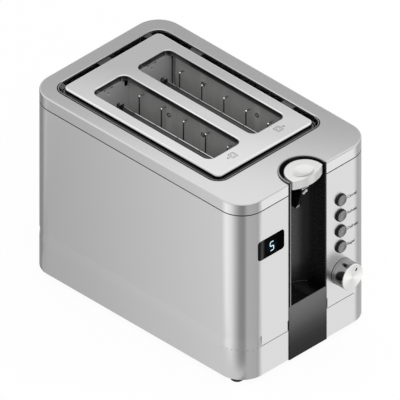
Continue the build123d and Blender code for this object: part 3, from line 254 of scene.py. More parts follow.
def brushed(name, colour, roughness, along, fine=900.0, anisotropic=0.0, tangent=None, variation=0.02,
            metallic=1.0, bump=0.02, walls=None, shades=()):
    """Brushed or drawn metal, with hair lines along one axis: 0, 1 or 2.

    Walls is (roughness, factor on the colour) of its upright faces, if they differ from the flat ones; a
    factor over 1 is painted light on the upright faces.
    Shades are (direction, {distance: factor on the colour}) along a direction: painted light and shade."""
    nodes = surface(name, Metallic=metallic, Anisotropic=anisotropic)
    stretch = [1.0, 1.0, 1.0]
    stretch[along] = HAIR_STRETCH
    hair = nodes.noise(fine, stretch, detail=4.0)
    broad = nodes.noise(fine / BROAD_PART, stretch, detail=2.0)
    both = nodes.math("ADD", nodes.math("MULTIPLY", hair, HAIR_SHARE),
                      nodes.math("MULTIPLY", broad, 1 - HAIR_SHARE))
    tone = nodes.ramp(both, mixed(colour, variation))
    # Painted light and shade along a direction, as factors on the colour
    for direction, stops in shades:
        tone = nodes.product(tone, nodes.graded(direction, stops))
    uneven = min(UNEVEN_LIMIT, 4 * variation)
    gloss = nodes.ramp(both, spread(roughness * (1 - uneven), roughness * (1 + uneven), 0.25, 0.75))
    if walls:
        wall_roughness, wall_light_factor = walls
        upward = nodes.normal()["Z"]
        wall_gloss = nodes.ramp(upward, [(UPRIGHT, wall_roughness / roughness), (LEVEL, 1.0)])
        gloss = nodes.product(gloss, wall_gloss)
        # Painted light: upright faces made lighter than the flat ones by the wall factor
        tone = nodes.product(tone, nodes.light_ramp(upward, {UPRIGHT: wall_light_factor, LEVEL: 1.0}))
    nodes.feed("Base Color", tone)
    nodes.feed("Roughness", gloss)
    nodes.feed("Normal", nodes.bump(hair, bump))
    if tangent == "round":
        direction = nodes.add("ShaderNodeTangent", direction_type="RADIAL", axis="Y")
        nodes.feed("Tangent", direction.outputs["Tangent"])
    elif tangent:
        direction = nodes.add("ShaderNodeCombineXYZ")
        for socket, value in zip(direction.inputs, tangent):
            socket.default_value = value
        nodes.feed("Tangent", direction.outputs["Vector"])


def moulded(name, colour, roughness, grain=2500.0, bump=0.15, specular=0.5, variation=0.12):
    """Moulded plastic, rubber or paint, with a fine grain and slightly uneven gloss."""
    nodes = surface(name, Specular_IOR_Level=specular)
    broad = nodes.noise(60.0)
    nodes.feed("Base Color", nodes.ramp(broad, mixed(colour, variation)))
    nodes.feed("Roughness", nodes.ramp(broad, spread(roughness * 0.9, roughness * 1.12)))
    nodes.feed("Normal", nodes.bump(nodes.noise(grain, detail=2.0), bump))


def satin(name, colour, roughness, metallic, aside):
    """Silver paint with a satin gloss. Aside is {how far a face looks along X: factor on the colour}, painted
    light on faces turned aside.
    """
    nodes = surface(name, Metallic=metallic)
    fine = nodes.noise(1500.0, detail=2.0)
    normal = nodes.normal()
    upright_part = nodes.math("SUBTRACT", 1.0, nodes.math("ABSOLUTE", normal["Z"]))
    facing = nodes.math("MULTIPLY", normal["X"], upright_part)
    tone = nodes.product(nodes.ramp(fine, mixed(colour, 0.01)), nodes.light_ramp(facing, aside))
    nodes.feed("Base Color", tone)
    nodes.feed("Roughness", nodes.ramp(fine, spread(roughness * 0.95, roughness * 1.05)))


def lit(name, colour, strength):
    """Lit segments, with a little unevenness in the light."""
    nodes = surface(name, Roughness=0.4, Emission_Strength=strength)
    uneven = nodes.noise(500.0, detail=1.0)
    dimmed = tuple(c * 0.3 for c in colour)
    nodes.feed("Emission Color", nodes.ramp(uneven, mixed(colour, 0.06)))
    nodes.feed("Base Color", nodes.ramp(uneven, mixed(dimmed, 0.06)))


# Single finishes, each with its own tones. Stops are {place in metres: level} where nothing else is said.

# Painted light on the badge, by height
BADGE_PAINTED_LIGHT = {0.006: 0.002, 0.012: 0.004, 0.020: 0.012, 0.030: 0.040, 0.040: 0.09, 0.050: 0.125, 0.060: 0.15}


def badge():
    """A dark metallic plate, with painted light: lighter in its upper part."""
    nodes = surface("badge_dark", Specular_IOR_Level=0.3, Metallic=0.3)
    nodes.feed("Base Color", nodes.graded(UP, BADGE_PAINTED_LIGHT))
    nodes.feed("Roughness", nodes.ramp(nodes.noise(4000.0, detail=1.0), spread(0.315, 0.385)))


# The lit figure, the painted glow round it, and the painted reflection that lies as a streak in the glass, by
# millimetres from its left end
DIGIT_WIDTH, DIGIT_HEIGHT, DIGIT_BAR, DIGIT_GAP = 4.2 * MM, 8.9 * MM, 0.85 * MM, 0.12 * MM
DIGIT_X, DIGIT_Z = -45.8 * MM, 131.0 * MM
PAINTED_GLOW_REACH = 7.5 * MM
PAINTED_GLOW = [(0.0, (0.004, 0.018, 0.032)), (0.5, (0.001, 0.005, 0.010)), (1.0, 0.0)]
PAINTED_STREAK = {0.0: 0.002, 1.0: 0.005, 2.1: 0.014, 3.3: 0.035, 4.5: 0.054, 5.7: 0.042, 7.0: 0.014, 8.2: 0.004}
GLASS_BLACK = 0.001


def window():
    """Black glass with a painted reflection as a soft streak near its left end, and a painted glow round the
    lit figure.
    """
    nodes = surface("window_black", Specular_IOR_Level=0.0, Emission_Strength=1.0)
    pale = placed_stops(LENS_LOW.x, PAINTED_STREAK)
    pale[LENS_HIGH.x] = GLASS_BLACK
    # Painted reflection: a lighter streak near the left end of the glass
    nodes.feed("Base Color", nodes.graded(RIGHT, pale))
    place = nodes.add("ShaderNodeTexCoord")
    apart = nodes.add("ShaderNodeVectorMath", operation="DISTANCE")
    apart.inputs[1].default_value = (DIGIT_X + DIGIT_WIDTH / 2, LENS_LOW.y, DIGIT_Z + DIGIT_HEIGHT / 2)
    nodes.link(place.outputs["Object"], apart.inputs[0])
    near = nodes.math("DIVIDE", apart.outputs["Value"], PAINTED_GLOW_REACH)
    # Painted glow: the figure's light painted round it on the glass
    nodes.feed("Emission Color", nodes.ramp(near, PAINTED_GLOW, "EASE"))
    nodes.feed("Roughness", nodes.ramp(nodes.noise(400.0, detail=2.0), spread(0.09, 0.12)))


# Painted light across the channel's wall, and painted shade by height
CHANNEL_PAINTED_LIGHT = {-0.024: 0.003, 0.001: 0.003, 0.004: 0.074, 0.0073: 0.066, 0.010: 0.044, 0.0125: 0.017,
                 0.0147: 0.006, 0.0166: 0.004, 0.0182: 0.006, 0.0210: 0.010}
CHANNEL_PAINTED_SHADE = {0.059: 0.10, 0.064: 0.35, 0.080: 1.0, 0.176: 1.0, 0.182: 0.15}


def channel_black():
    """Gloss black with a painted band of light down the left of the channel's wall, and painted shade at its
    foot and its top.
    """
    nodes = surface("channel_black")
    across = nodes.graded(RIGHT, CHANNEL_PAINTED_LIGHT)
    nodes.feed("Base Color", nodes.product(across, nodes.graded(UP, CHANNEL_PAINTED_SHADE)))
    nodes.feed("Roughness", nodes.ramp(nodes.noise(300.0, detail=2.0), spread(0.26, 0.30)))


MICA = [(0.3, (0.40, 0.40, 0.395)), (0.55, (0.44, 0.44, 0.435)), (0.75, (0.475, 0.475, 0.47))]


def mica():
    """Layered mica board: pale, mottled, with thin flakes."""
    nodes = surface("mica", Specular_IOR_Level=0.35)
    flakes = nodes.noise(130.0, (1.0, 1.0, 0.3), detail=5.0)
    nodes.feed("Base Color", nodes.ramp(flakes, MICA))
    nodes.feed("Roughness", nodes.ramp(flakes, spread(0.4, 0.5)))
    nodes.feed("Normal", nodes.bump(flakes, 0.1, 0.03 * MM))


def circuit_board():
    """Green board with the faint relief of its tracks."""
    nodes = surface("board_green", Specular_IOR_Level=0.5, Roughness=0.35)
    tracks = nodes.noise(900.0, (1.0, 1.0, 0.2), detail=0.0)
    nodes.feed("Base Color", nodes.ramp(tracks, spread((0.03, 0.13, 0.06), (0.05, 0.20, 0.10), 0.48, 0.52)))
    nodes.feed("Normal", nodes.bump(tracks, 0.2, 0.05 * MM))


# Painted light and shade, as factors on the steel of the top, in millimetres: slantwise over the plate from
# its middle, and by height from the top at the edges. Then on the lever, by how far a face looks along X, and
# on the guards' wires.
TOP_ACROSS = (1.4, 1.0, 0.0)
# Painted light: the plate's top lighter towards its middle, slantwise
PLATE_PAINTED_LIGHT = {-170: 1.10, -126: 1.18, -70: 1.32, -40: 1.34, 0: 1.50, 40: 1.43, 95: 1.22, 180: 1.22}
# Painted shade on the rounding of the cover's top edges, by height from its top
COVER_ROUNDING_SHADE = {-1.6: 1.0, -1.3: 0.76, -0.9: 0.80, -0.45: 0.93, -0.1: 1.0}
# Painted shade: the plate's edge roundings and walls darker a little below its top
PLATE_WALL_SHADE = {-4.7: 0.45, -3.0: 0.35, -2.4: 0.15, -1.4: 0.15, -0.9: 0.22, -0.3: 0.50, 0.3: 0.84, 0.8: 1.0}
# Painted light: the lever head's faces lighter the more they look along X
LEVER_SIDE_LIGHT = {-0.45: 1.33, -0.20: 1.28, -0.06: 1.06, -0.03: 1.0, 0.12: 1.0, 0.30: 1.22, 0.60: 1.32}
GUARD_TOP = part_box("guard_left_outer")[1].z
# Painted shade and highlight: the guards' wires darker, and lighter in the top 0.9 mm
WIRE_PAINTED_LIGHT = {0.16: 0.34, GUARD_TOP - 1.3 * MM: 0.34, GUARD_TOP - 0.9 * MM: 0.8, GUARD_TOP: 0.8}

# The finishes

SHEET = {"along": 1, "anisotropic": 0.5, "tangent": BACKWARD, "variation": 0.006, "bump": 0.001}
SPUN = {"along": 0, "fine": 1200.0, "tangent": "round"}
THIN = {"grain": 600.0, "bump": 0.02}
# Painted light on the cover's upright faces, lifted to the body's tone above its darker flat top
cover_walls = (0.2, STEEL_TONE / COVER_TONE)
cover_shades = [(UP, placed_stops(TOP_Z, COVER_ROUNDING_SHADE))]
plate_shades = [(TOP_ACROSS, placed_stops(MIDDLE_Y, PLATE_PAINTED_LIGHT)), (UP, placed_stops(TOP_Z, PLATE_WALL_SHADE))]

brushed("body_steel", shade(STEEL_TONE), 0.27, 2, anisotropic=0.75, tangent=UP, variation=0.004, bump=0.001)
brushed("top_steel", shade(COVER_TONE), 0.25, walls=cover_walls, shades=cover_shades, **SHEET)
brushed("plate_steel", shade(COVER_TONE), 0.25, walls=(0.12, 1.0), shades=plate_shades, **SHEET)
satin("lever_silver", (0.66, 0.66, 0.655), 0.22, 0.6, LEVER_SIDE_LIGHT)
brushed("knob_side", shade(0.36), 0.14, 1, fine=700.0, variation=0.01, bump=0.004)
brushed("knob_face", (0.88, 0.88, 0.87), 0.26, anisotropic=0.8, variation=0.006, bump=0.002, **SPUN)
brushed("button_silver", shade(0.28), 0.24, anisotropic=0.7, variation=0.02, bump=0.005, **SPUN)
moulded("gloss_black", (0.005, 0.005, 0.0055), 0.30, specular=0.3, **THIN)
channel_black()
moulded("stem_black", shade(0.004), 0.4, specular=0.08, **THIN)
moulded("button_black", shade(0.010), 0.45, specular=0.15, **THIN)
moulded("trim_dark", shade(0.10), 0.4, variation=0.03, bump=0.02)
# Grey for the painted shade at the edge of the lever's finger dish
moulded("dish_shade_grey", (0.22, 0.22, 0.215), 0.5, variation=0.02, bump=0.01)
# Grey for painted lines of light and shade
moulded("painted_grey", shade(0.23), 0.4, variation=0.03, bump=0.02)
# A lighter copy of the racks' steel, for painted highlights along their edges
brushed("rack_bright", shade(0.55), 0.14, 1, variation=0.01, bump=0.001)
# Pale for the painted highlights on the lever's stem
moulded("glint_pale", (0.62, 0.62, 0.61), 0.4, variation=0.03, bump=0.02)
# A lighter copy of the wires' steel, for painted highlights at their bends and ends
brushed("glint_steel", shade(0.97), 0.14, 1, variation=0.01, bump=0.001)
badge()
window()
brushed("zinc_plate", shade(0.50), 0.42, 1, fine=300.0, variation=0.05, metallic=0.35, bump=0.01)
brushed("dark_plate", shade(0.14), 0.22, 1, fine=500.0, variation=0.05, bump=0.005)
brushed("carriage_steel", shade(0.36), 0.35, 1, fine=400.0, variation=0.08)
brushed("wire_steel", shade(0.55), 0.30, 2, variation=0.04, shades=[(UP, WIRE_PAINTED_LIGHT)])
brushed("bright_steel", shade(0.95), 0.42, 1, variation=0.01, bump=0.002)
brushed("rod_steel", (0.75, 0.75, 0.76), 0.15, 2)
brushed("spring_steel", (0.45, 0.45, 0.46), 0.30, 0, variation=0.05)
brushed("soft_iron", (0.35, 0.34, 0.33), 0.45, 0, fine=300.0, variation=0.10)
mica()
brushed("ribbon", (0.34, 0.31, 0.29), 0.40, 1, fine=300.0, variation=0.15)
moulded("base_black", (0.030, 0.030, 0.031), 0.55)
moulded("foot_rubber", shade(0.030), 0.75, grain=1500.0, bump=0.3, specular=0.3)
circuit_board()
moulded("component_black", (0.040, 0.040, 0.045), 0.45)
lit("digit_light", (0.55, 0.85, 1.0), 0.6)
moulded("magnet_coil", (0.40, 0.12, 0.05), 0.30, grain=900.0, bump=0.4)
brushed("screw_steel", shade(0.55), 0.30, 0, fine=600.0)
moulded("print_grey", shade(0.06), 0.55, variation=0.05, bump=0.05)
lit("digit_glow", (0.68, 0.88, 1.0), 1.0)
# Black for dark seams and marks, and for lines and patches of painted shade
moulded("seam_mark_and_shade_black", shade(0.008), 0.7, grain=1500.0, specular=0.1)
moulded("card_strip", (0.50, 0.50, 0.49), 0.45, grain=1200.0, variation=0.04)

# Nodes that wear another finish than their own slot's
OTHER_FINISH = {"slot_plate": "plate_steel", "channel_housing": "channel_black", "lever_stem": "stem_black"}
OTHER_FINISH.update({f"button_{number}": "button_black" for number in BUTTONS})
for part in frame["record"]["subparts"]:
    node = frame["nodes"][part["node"]]
    for place in node.material_slots:
        place.material = FINISH[OTHER_FINISH.get(part["node"], part["material_slot"])]


# Mesh helpers

def piece(name, mesh, finish, body="housing"):
    """Puts a finished bmesh in the scene as one piece that rides on a body."""
    data = bpy.data.meshes.new(name)
    mesh.normal_update()
    mesh.to_mesh(data)
    mesh.free()
    thing = bpy.data.objects.new(name, data)
    bpy.context.scene.collection.objects.link(thing)
    data.materials.append(FINISH[finish])
    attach(thing, body)


def turned(profile, steps, size=1.0):
    """A smooth bmesh turned round Z from (radius, height) pairs in millimetres, from its tip down."""
    mesh = bmesh.new()
    rings = []
    for radius, height in reversed(profile):
        reach, z = radius * size * MM, height * size * MM
        turns = [2 * math.pi * i / steps for i in range(steps)] if radius else [0.0]
        rings.append([mesh.verts.new((reach * math.cos(a), reach * math.sin(a), z)) for a in turns])
    for low, high in zip(rings, rings[1:]):
        for i in range(steps):
            corners = (low[i % len(low)], low[(i + 1) % len(low)],
                       high[(i + 1) % len(high)], high[i % len(high)])
            face = mesh.faces.new(dict.fromkeys(corners))
            face.smooth = True
    return mesh


def ring(radius, wire, steps, sides):
    """A closed wire ring round Z."""
    mesh = bmesh.new()
    loops = []
    for i in range(steps):
        turn = 2 * math.pi * i / steps
        loop = []
        for j in range(sides):
            round_wire = 2 * math.pi * j / sides
            reach, z = radius + wire * math.cos(round_wire), wire * math.sin(round_wire)
            loop.append(mesh.verts.new((reach * math.cos(turn), reach * math.sin(turn), z)))
        loops.append(loop)
    for i in range(steps):
        for j in range(sides):
            a, b = loops[i], loops[(i + 1) % steps]
            face = mesh.faces.new((a[j], b[j], b[(j + 1) % sides], a[(j + 1) % sides]))
            face.smooth = True
    return mesh


def placed(mesh, at):
    """Moves a bmesh to its place."""
    mesh.transform(Matrix.Translation(Vector(at)))
    return mesh


def moved(mesh, at, facing):
    """Turns a bmesh from +Z to the direction it faces, and puts it in place."""
    turn = Vector(facing).to_track_quat("Z", "Y").to_matrix().to_4x4()
    mesh.transform(turn)
    return placed(mesh, at)


def upright(mesh, at):
    """Stands a flat mark up on the front wall, its X to the right and its Y up."""
    mesh.transform(Matrix.Rotation(math.pi / 2, 4, "X"))
    return placed(mesh, at)


def joined(meshes):
    """One bmesh from several."""
    whole = bmesh.new()
    for mesh in meshes:
        data = bpy.data.meshes.new("part")
        mesh.to_mesh(data)
        mesh.free()
        whole.from_mesh(data)
        bpy.data.meshes.remove(data)
    return whole


def sideways(along, reach):
    """A vector of a given length to the left of a direction in the XY plane."""
    return Vector((-along.y, along.x)) * reach


def stroke(points, width, closed=False):
    """A flat printed line of even width in the XY plane."""
    mesh = bmesh.new()
    points = [Vector(p) for p in points]
    count = len(points)
    rails = []
    for i, point in enumerate(points):
        before = points[i - 1] if closed or i else point
        after = points[(i + 1) % count] if closed or i < count - 1 else point
        side = sideways((after - before).normalized(), width / 2)
        rails.append([mesh.verts.new((*(point + s * side), 0.0)) for s in (1, -1)])
    for i in range(count if closed else count - 1):
        a, b = rails[i], rails[(i + 1) % count]
        mesh.faces.new((a[0], a[1], b[1], b[0]))
    return mesh


def tapered(points, width):
    """A flat crescent along a line: as wide as width in its middle, and pointed at both ends."""
    tip = 0.08
    mesh = bmesh.new()
    points = [Vector(p) for p in points]
    last = len(points) - 1
    rails = []
    for i, point in enumerate(points):
        along = (points[min(i + 1, last)] - points[max(i - 1, 0)]).normalized()
        side = sideways(along, width / 2 * (tip + math.sin(math.pi * i / last)))
        rails.append([mesh.verts.new((*(point + s * side), 0.0)) for s in (1, -1)])
    for a, b in zip(rails, rails[1:]):
        mesh.faces.new((a[0], a[1], b[1], b[0]))
    return mesh


def arc(centre, radius, start, end, steps=10):
    turns = [math.radians(start + (end - start) * i / steps) for i in range(steps + 1)]
    return [(centre[0] + radius * math.cos(t), centre[1] + radius * math.sin(t)) for t in turns]


CORNER_POINTS = 9


def rounded(half_x, half_y, radius, middle=MIDDLE_Y):
    """A rounded rectangle: the middle of its front side, then each corner's points, front right first."""
    points = [(0.0, -half_y)]
    for turn, sx, sy in ((-90, 1, -1), (0, 1, 1), (90, -1, 1), (180, -1, -1)):
        corner = (sx * (half_x - radius), sy * (half_y - radius))
        points += arc(corner, radius, turn, turn + 90, CORNER_POINTS - 1)
    return [(x, middle + y) for x, y in points]


def strip(outline, depth, low, high):
    """An upright band along an open outline, as thick as depth to its left."""
    mesh = bmesh.new()
    rows = []
    for i, point in enumerate(outline):
        before, after = Vector(outline[max(i - 1, 0)]), Vector(outline[min(i + 1, len(outline) - 1)])
        inner = Vector(point) + sideways((after - before).normalized(), depth)
        section = ((point, low), (point, high), (inner, high), (inner, low))
        rows.append([mesh.verts.new((*p, z)) for p, z in section])
    for a, b in zip(rows, rows[1:]):
        for i in range(4):
            mesh.faces.new((a[i], b[i], b[(i + 1) % 4], a[(i + 1) % 4]))
    mesh.faces.new(rows[0])
    mesh.faces.new(rows[-1][::-1])
    return mesh


def prism(section, y0, y1):
    """A closed bar along Y from its corners in XZ."""
    mesh = bmesh.new()
    front, back = ([mesh.verts.new((x, y, z)) for x, z in section] for y in (y0, y1))
    count = len(section)
    for i in range(count):
        mesh.faces.new((front[i], front[(i + 1) % count], back[(i + 1) % count], back[i]))
    mesh.faces.new(front[::-1])
    mesh.faces.new(back)
    return mesh


def patch(corners):
    """One flat face from its corners."""
    mesh = bmesh.new()
    mesh.faces.new([mesh.verts.new(corner) for corner in corners])
    return mesh


def rectangle(x0, x1, y0, y1, z=0.0):
    """The corners of a level rectangle."""
    return [(x0, y0, z), (x1, y0, z), (x1, y1, z), (x0, y1, z)]


def flat(width, height):
    """A flat rectangle round the origin in the XY plane."""
    return patch(rectangle(-width / 2, width / 2, -height / 2, height / 2))


def pill(length, width):
    """A flat mark with round ends, along Y."""
    half = (length - width) / 2
    outline = arc((0, half), width / 2, 0, 180, 8) + arc((0, -half), width / 2, 180, 360, 8)
    return patch([(x, y, 0.0) for x, y in outline])


# The lit figure in the window

def segment(start, end, width):
    """One lit bar with pointed ends."""
    a, b = Vector(start), Vector(end)
    along = (b - a).normalized()
    side = sideways(along, width / 2)
    tip = along * width / 2
    outline = [a, a + tip + side, b - tip + side, b, b - tip - side, a + tip - side]
    return patch([(*p, 0.0) for p in outline])


def digit_five():
    """A seven-segment 5."""
    w, h, gap = DIGIT_WIDTH, DIGIT_HEIGHT, DIGIT_GAP
    bars = [((gap, z), (w - gap, z)) for z in (0.0, h / 2, h)]
    bars += [((0, h / 2 + gap), (0, h - gap)), ((w, gap), (w, h / 2 - gap))]
    figure = joined([segment(a, b, DIGIT_BAR) for a, b in bars])
    return upright(figure, (DIGIT_X, LENS_LOW.y - PRINT_LIFT, DIGIT_Z))


piece("digit_figure", digit_five(), "digit_glow")


# Printed words beside the buttons

LABEL_SIZE = 4.2 * MM
LABEL_WEIGHT = 0.10 * MM
LABEL_X = 48.6 * MM
LABEL_DROP = 3.0 * MM
LABELS = ("Cancel", "Reheat", "Defrost", "Bagel")


def words(text, size):
    """A flat mesh of a short printed word, from the left end of its base line."""
    font = bpy.data.curves.new("word", "FONT")
    font.body = text
    font.size = size
    font.offset = LABEL_WEIGHT
    font.resolution_u = 4
    holder = bpy.data.objects.new("word", font)
    bpy.context.scene.collection.objects.link(holder)
    bpy.context.view_layer.update()
    data = bpy.data.meshes.new_from_object(holder.evaluated_get(bpy.context.evaluated_depsgraph_get()))
    mesh = bmesh.new()
    mesh.from_mesh(data)
    bpy.data.objects.remove(holder)
    bpy.data.meshes.remove(data)
    bpy.data.curves.remove(font)
    return mesh


for number, text in zip(BUTTONS, LABELS):
    low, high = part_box(f"button_{number}")
    at = (LABEL_X, FRONT_Y - PRINT_LIFT, (low.z + high.z) / 2 - LABEL_DROP)
    piece(f"label_{number}", upright(words(text, LABEL_SIZE), at), "print_grey")


# Marks printed on the slot plate

LOAF_HALF, LOAF_LINE = 3.0 * MM, 0.55 * MM
INNER_LINE, ARROW_LINE = 0.7 * LOAF_LINE, 0.8 * LOAF_LINE
# Shares of the loaf: the top of its sides, its two lobes and their height, and the inner outline
SHOULDER, LOBE, LOBE_RISE, INNER = 0.4, 0.55, 0.75, 0.55
ARROW_START, ARROW_TIP, ARROW_BACK, ARROW_HALF = 3.9 * MM, 7.0 * MM, 5.7 * MM, 1.3 * MM
MARK_X = {"left": -27.0 * MM, "right": 28.7 * MM}
MARK_Y = MIDDLE_Y - 67 * MM


def slice_mark(side):
    """A slice of bread, drawn double, and an arrow beside it."""
    half, lobe, rise = LOAF_HALF, LOAF_HALF * LOBE, LOAF_HALF * LOBE_RISE
    loaf = [(-half, -half), (half, -half), (half, half * SHOULDER)]
    loaf += arc((lobe, rise), lobe, -30, 120, 6)
    loaf += arc((-lobe, rise), lobe, 60, 210, 6)
    loaf += [(-half, half * SHOULDER)]
    inner = [(x * INNER, y * INNER) for x, y in loaf]
    start, tip, back = (side * reach for reach in (ARROW_START, ARROW_TIP, ARROW_BACK))
    return joined([
        stroke(loaf, LOAF_LINE, closed=True),
        stroke(inner, INNER_LINE, closed=True),
        stroke([(start, 0), (tip, 0)], ARROW_LINE),
        stroke([(back, ARROW_HALF), (tip, 0), (back, -ARROW_HALF)], LOAF_LINE),
    ])


for name, x in MARK_X.items():
    mark = placed(slice_mark(math.copysign(1, x)), (x, MARK_Y, PLATE_TOP + PRINT_LIFT))
    piece(f"slice_mark_{name}", mark, "print_grey")


# Gaskets in the seams over and under the body's wrap

CORNER_RADIUS = 24.0 * MM
CHANNEL_HALF = 23.1 * MM
GASKET_DEPTH, GASKET_INSET = 0.5 * MM, 0.12 * MM
SEAM_Z = (COVER_LOW.z - 1.1 * MM, COVER_LOW.z + 0.1 * MM)
BAND_SEAM_Z = (BODY_FOOT - 0.8 * MM, BODY_FOOT + 0.2 * MM)


def body_outline(inset):
    """The outline of the body from above, drawn in by inset."""
    return rounded(RIGHT_X - inset, (BACK_Y - FRONT_Y) / 2 - inset, CORNER_RADIUS - inset)


outline = body_outline(GASKET_INSET)
front = outline[0][1]
seam = [(CHANNEL_HALF, front), *outline[1:], (-CHANNEL_HALF, front)]
piece("seam_gasket", strip(seam, GASKET_DEPTH, *SEAM_Z), "seam_mark_and_shade_black")
piece("band_gasket", strip(seam, GASKET_DEPTH, *BAND_SEAM_Z), "seam_mark_and_shade_black")

# Fine lines of painted shade in the recess of the top: two inside its near edge, one black and one grey, and
# one along the foot of its wall
RECESS_X, RECESS_CORNER = 65.6 * MM, 12.5 * MM
RECESS_FRONT, RECESS_BACK = FRONT_Y + 43.4 * MM, BACK_Y - 14.4 * MM
DARK_WIDTH, PALE_WIDTH, FOOT_WIDTH = 0.45 * MM, 0.65 * MM, 1.1 * MM
FOOT_INSET = 3.9 * MM
DARK_Z = (TOP_Z - 1.6 * MM, TOP_Z - 0.05 * MM)
PALE_Z = (TOP_Z - 1.6 * MM, TOP_Z - 0.2 * MM)
FOOT_Z = (TROUGH_TOP - 0.02 * MM, TROUGH_TOP + 0.06 * MM)


def recess_outline(inset):
    """The left and front of the recess, from its back left corner to its front right one."""
    half_y, middle = (RECESS_BACK - RECESS_FRONT) / 2, (RECESS_BACK + RECESS_FRONT) / 2
    outline = rounded(RECESS_X - inset, half_y - inset, RECESS_CORNER - inset, middle)
    return outline[1 + 2 * CORNER_POINTS:] + outline[:1 + CORNER_POINTS]


piece("recess_shade_black", strip(recess_outline(0.0), DARK_WIDTH, *DARK_Z), "seam_mark_and_shade_black")
piece("recess_shade_grey", strip(recess_outline(DARK_WIDTH), PALE_WIDTH, *PALE_Z), "painted_grey")
piece("trough_shade_line", strip(recess_outline(FOOT_INSET), FOOT_WIDTH, *FOOT_Z), "seam_mark_and_shade_black")

# The lever channel: painted highlights on the trim down its left edge and round the bead of its top, the
# black line on the rounding of its rim, and a painted highlight along the line where its wall meets its floor
CHANNEL_AT = (0.0, FRONT_Y + 4.4 * MM)
CHANNEL_FLOOR, TRIM_TOP = 60.0 * MM, TOP_Z - 1.0 * MM
RIM_RADIUS, RIM_COVER = 0.6 * MM, 0.65 * MM
RIM_X, RIM_Y = -22.4 * MM, CHANNEL_LOW.y + RIM_RADIUS - RIM_COVER
TRIM_X, TRIM_END_X = -21.95 * MM, -21.1 * MM
INNER_X, INNER_END_X, INNER_Y = -21.2 * MM, -20.2 * MM, FRONT_Y - 0.1 * MM
TRIM_DEPTH, INNER_DEPTH, EDGE_DEPTH = 0.3 * MM, 0.6 * MM, 0.1 * MM
BEAD_RADIUS, BEAD_WIDTH, BEAD_Y = 22.3 * MM, 1.1 * MM, FRONT_Y + 0.1 * MM
FLOOR_LINE_RADIUS, FLOOR_LINE_WIDTH, FLOOR_LINE_LIFT = 20.7 * MM, 0.6 * MM, 0.05 * MM

rim_face = strip([(TRIM_X, RIM_Y), (TRIM_END_X, RIM_Y)], TRIM_DEPTH, CHANNEL_FLOOR, TRIM_TOP)
inner_face = strip([(INNER_X, INNER_Y), (INNER_END_X, INNER_Y)], INNER_DEPTH, CHANNEL_FLOOR, TRIM_TOP)
# Painted highlight on the trim down the channel's left edge
piece("channel_trim_highlight", joined([rim_face, inner_face]), "painted_grey")
rounding = arc((RIM_X, RIM_Y + RIM_COVER), RIM_COVER, 180, 270, 8) + [(TRIM_X, RIM_Y)]
piece("channel_edge", strip(rounding, EDGE_DEPTH, CHANNEL_FLOOR, TRIM_TOP), "seam_mark_and_shade_black")
bead = [(BEAD_RADIUS, BEAD_Y), *arc(CHANNEL_AT, BEAD_RADIUS, 0, 180, 40), (-BEAD_RADIUS, BEAD_Y)]
# Painted highlight round the bead of the channel's top
piece("channel_bead_highlight", placed(stroke(bead, BEAD_WIDTH), (0, 0, CHANNEL_HIGH.z + PRINT_LIFT)), "painted_grey")
line = stroke(arc(CHANNEL_AT, FLOOR_LINE_RADIUS, 115, 38, 16), FLOOR_LINE_WIDTH)
# Painted highlight where the channel's wall meets its floor
piece("channel_floor_highlight", placed(line, (0, 0, CHANNEL_FLOOR + FLOOR_LINE_LIFT)), "trim_dark")

# The fine line of painted shadow round the two front corners, where the waist starts above the band
BAND_SHADOW_DEPTH, BAND_SHADOW_Z = 0.2 * MM, (BODY_FOOT - 0.9 * MM, BODY_FOOT - 0.2 * MM)
around = body_outline(-PRINT_LIFT)
for name, corner in (("right", around[1:1 + CORNER_POINTS]), ("left", around[-CORNER_POINTS:])):
    piece(f"band_shadow_line_{name}", strip(corner, BAND_SHADOW_DEPTH, *BAND_SHADOW_Z), "painted_grey")


# Knob, buttons and lever

CAP_LOW, CAP_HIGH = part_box("knob_cap")
INDEX_LENGTH, INDEX_WIDTH, INDEX_OFFSET = 3.2 * MM, 1.8 * MM, 7.6 * MM
INDEX_TURN = math.radians(35)
index = placed(pill(INDEX_LENGTH, INDEX_WIDTH), (0, INDEX_OFFSET, 0))
index.transform(Matrix.Rotation(-INDEX_TURN, 4, "Z"))
knob_middle = ((CAP_LOW.x + CAP_HIGH.x) / 2, CAP_LOW.y - PRINT_LIFT, (CAP_LOW.z + CAP_HIGH.z) / 2)
piece("knob_index", upright(index, knob_middle), "seam_mark_and_shade_black", "shade_knob")

# Painted shade along the soft edge of the finger dish, on its near side
HEAD_LOW, HEAD_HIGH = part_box("lever_head")
DISH_X, DISH_Y, DISH_REACH_X, DISH_REACH_Y = -0.4 * MM, FRONT_Y + 4.6 * MM, 10.7 * MM, 7.2 * MM
DISH_SHADE_WIDTH = 1.0 * MM
dish = [(DISH_X + DISH_REACH_X * x, DISH_Y + DISH_REACH_Y * y) for x, y in arc((0, 0), 1.0, 142, 322, 28)]
rim = placed(tapered(dish, DISH_SHADE_WIDTH), (0, 0, HEAD_HIGH.z + PRINT_LIFT))
piece("head_dish_shade", rim, "dish_shade_grey", "lift_carriage")

BUTTON_DISH = [(0.0, 0.05), (1.6, 0.09), (3.0, 0.20), (4.1, 0.36), (4.7, 0.46), (5.0, 0.42), (5.15, 0.30),
               (5.2, -0.05)]
for number in BUTTONS:
    low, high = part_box(f"button_{number}")
    middle = ((low.x + high.x) / 2, low.y, (low.z + high.z) / 2)
    face = moved(turned(BUTTON_DISH, 32), middle, FORWARD)
    piece(f"button_face_{number}", face, "button_silver", f"button_{number}_body")


# Strips and eyelets on the two heater cards that show in the slots, by their places along Y

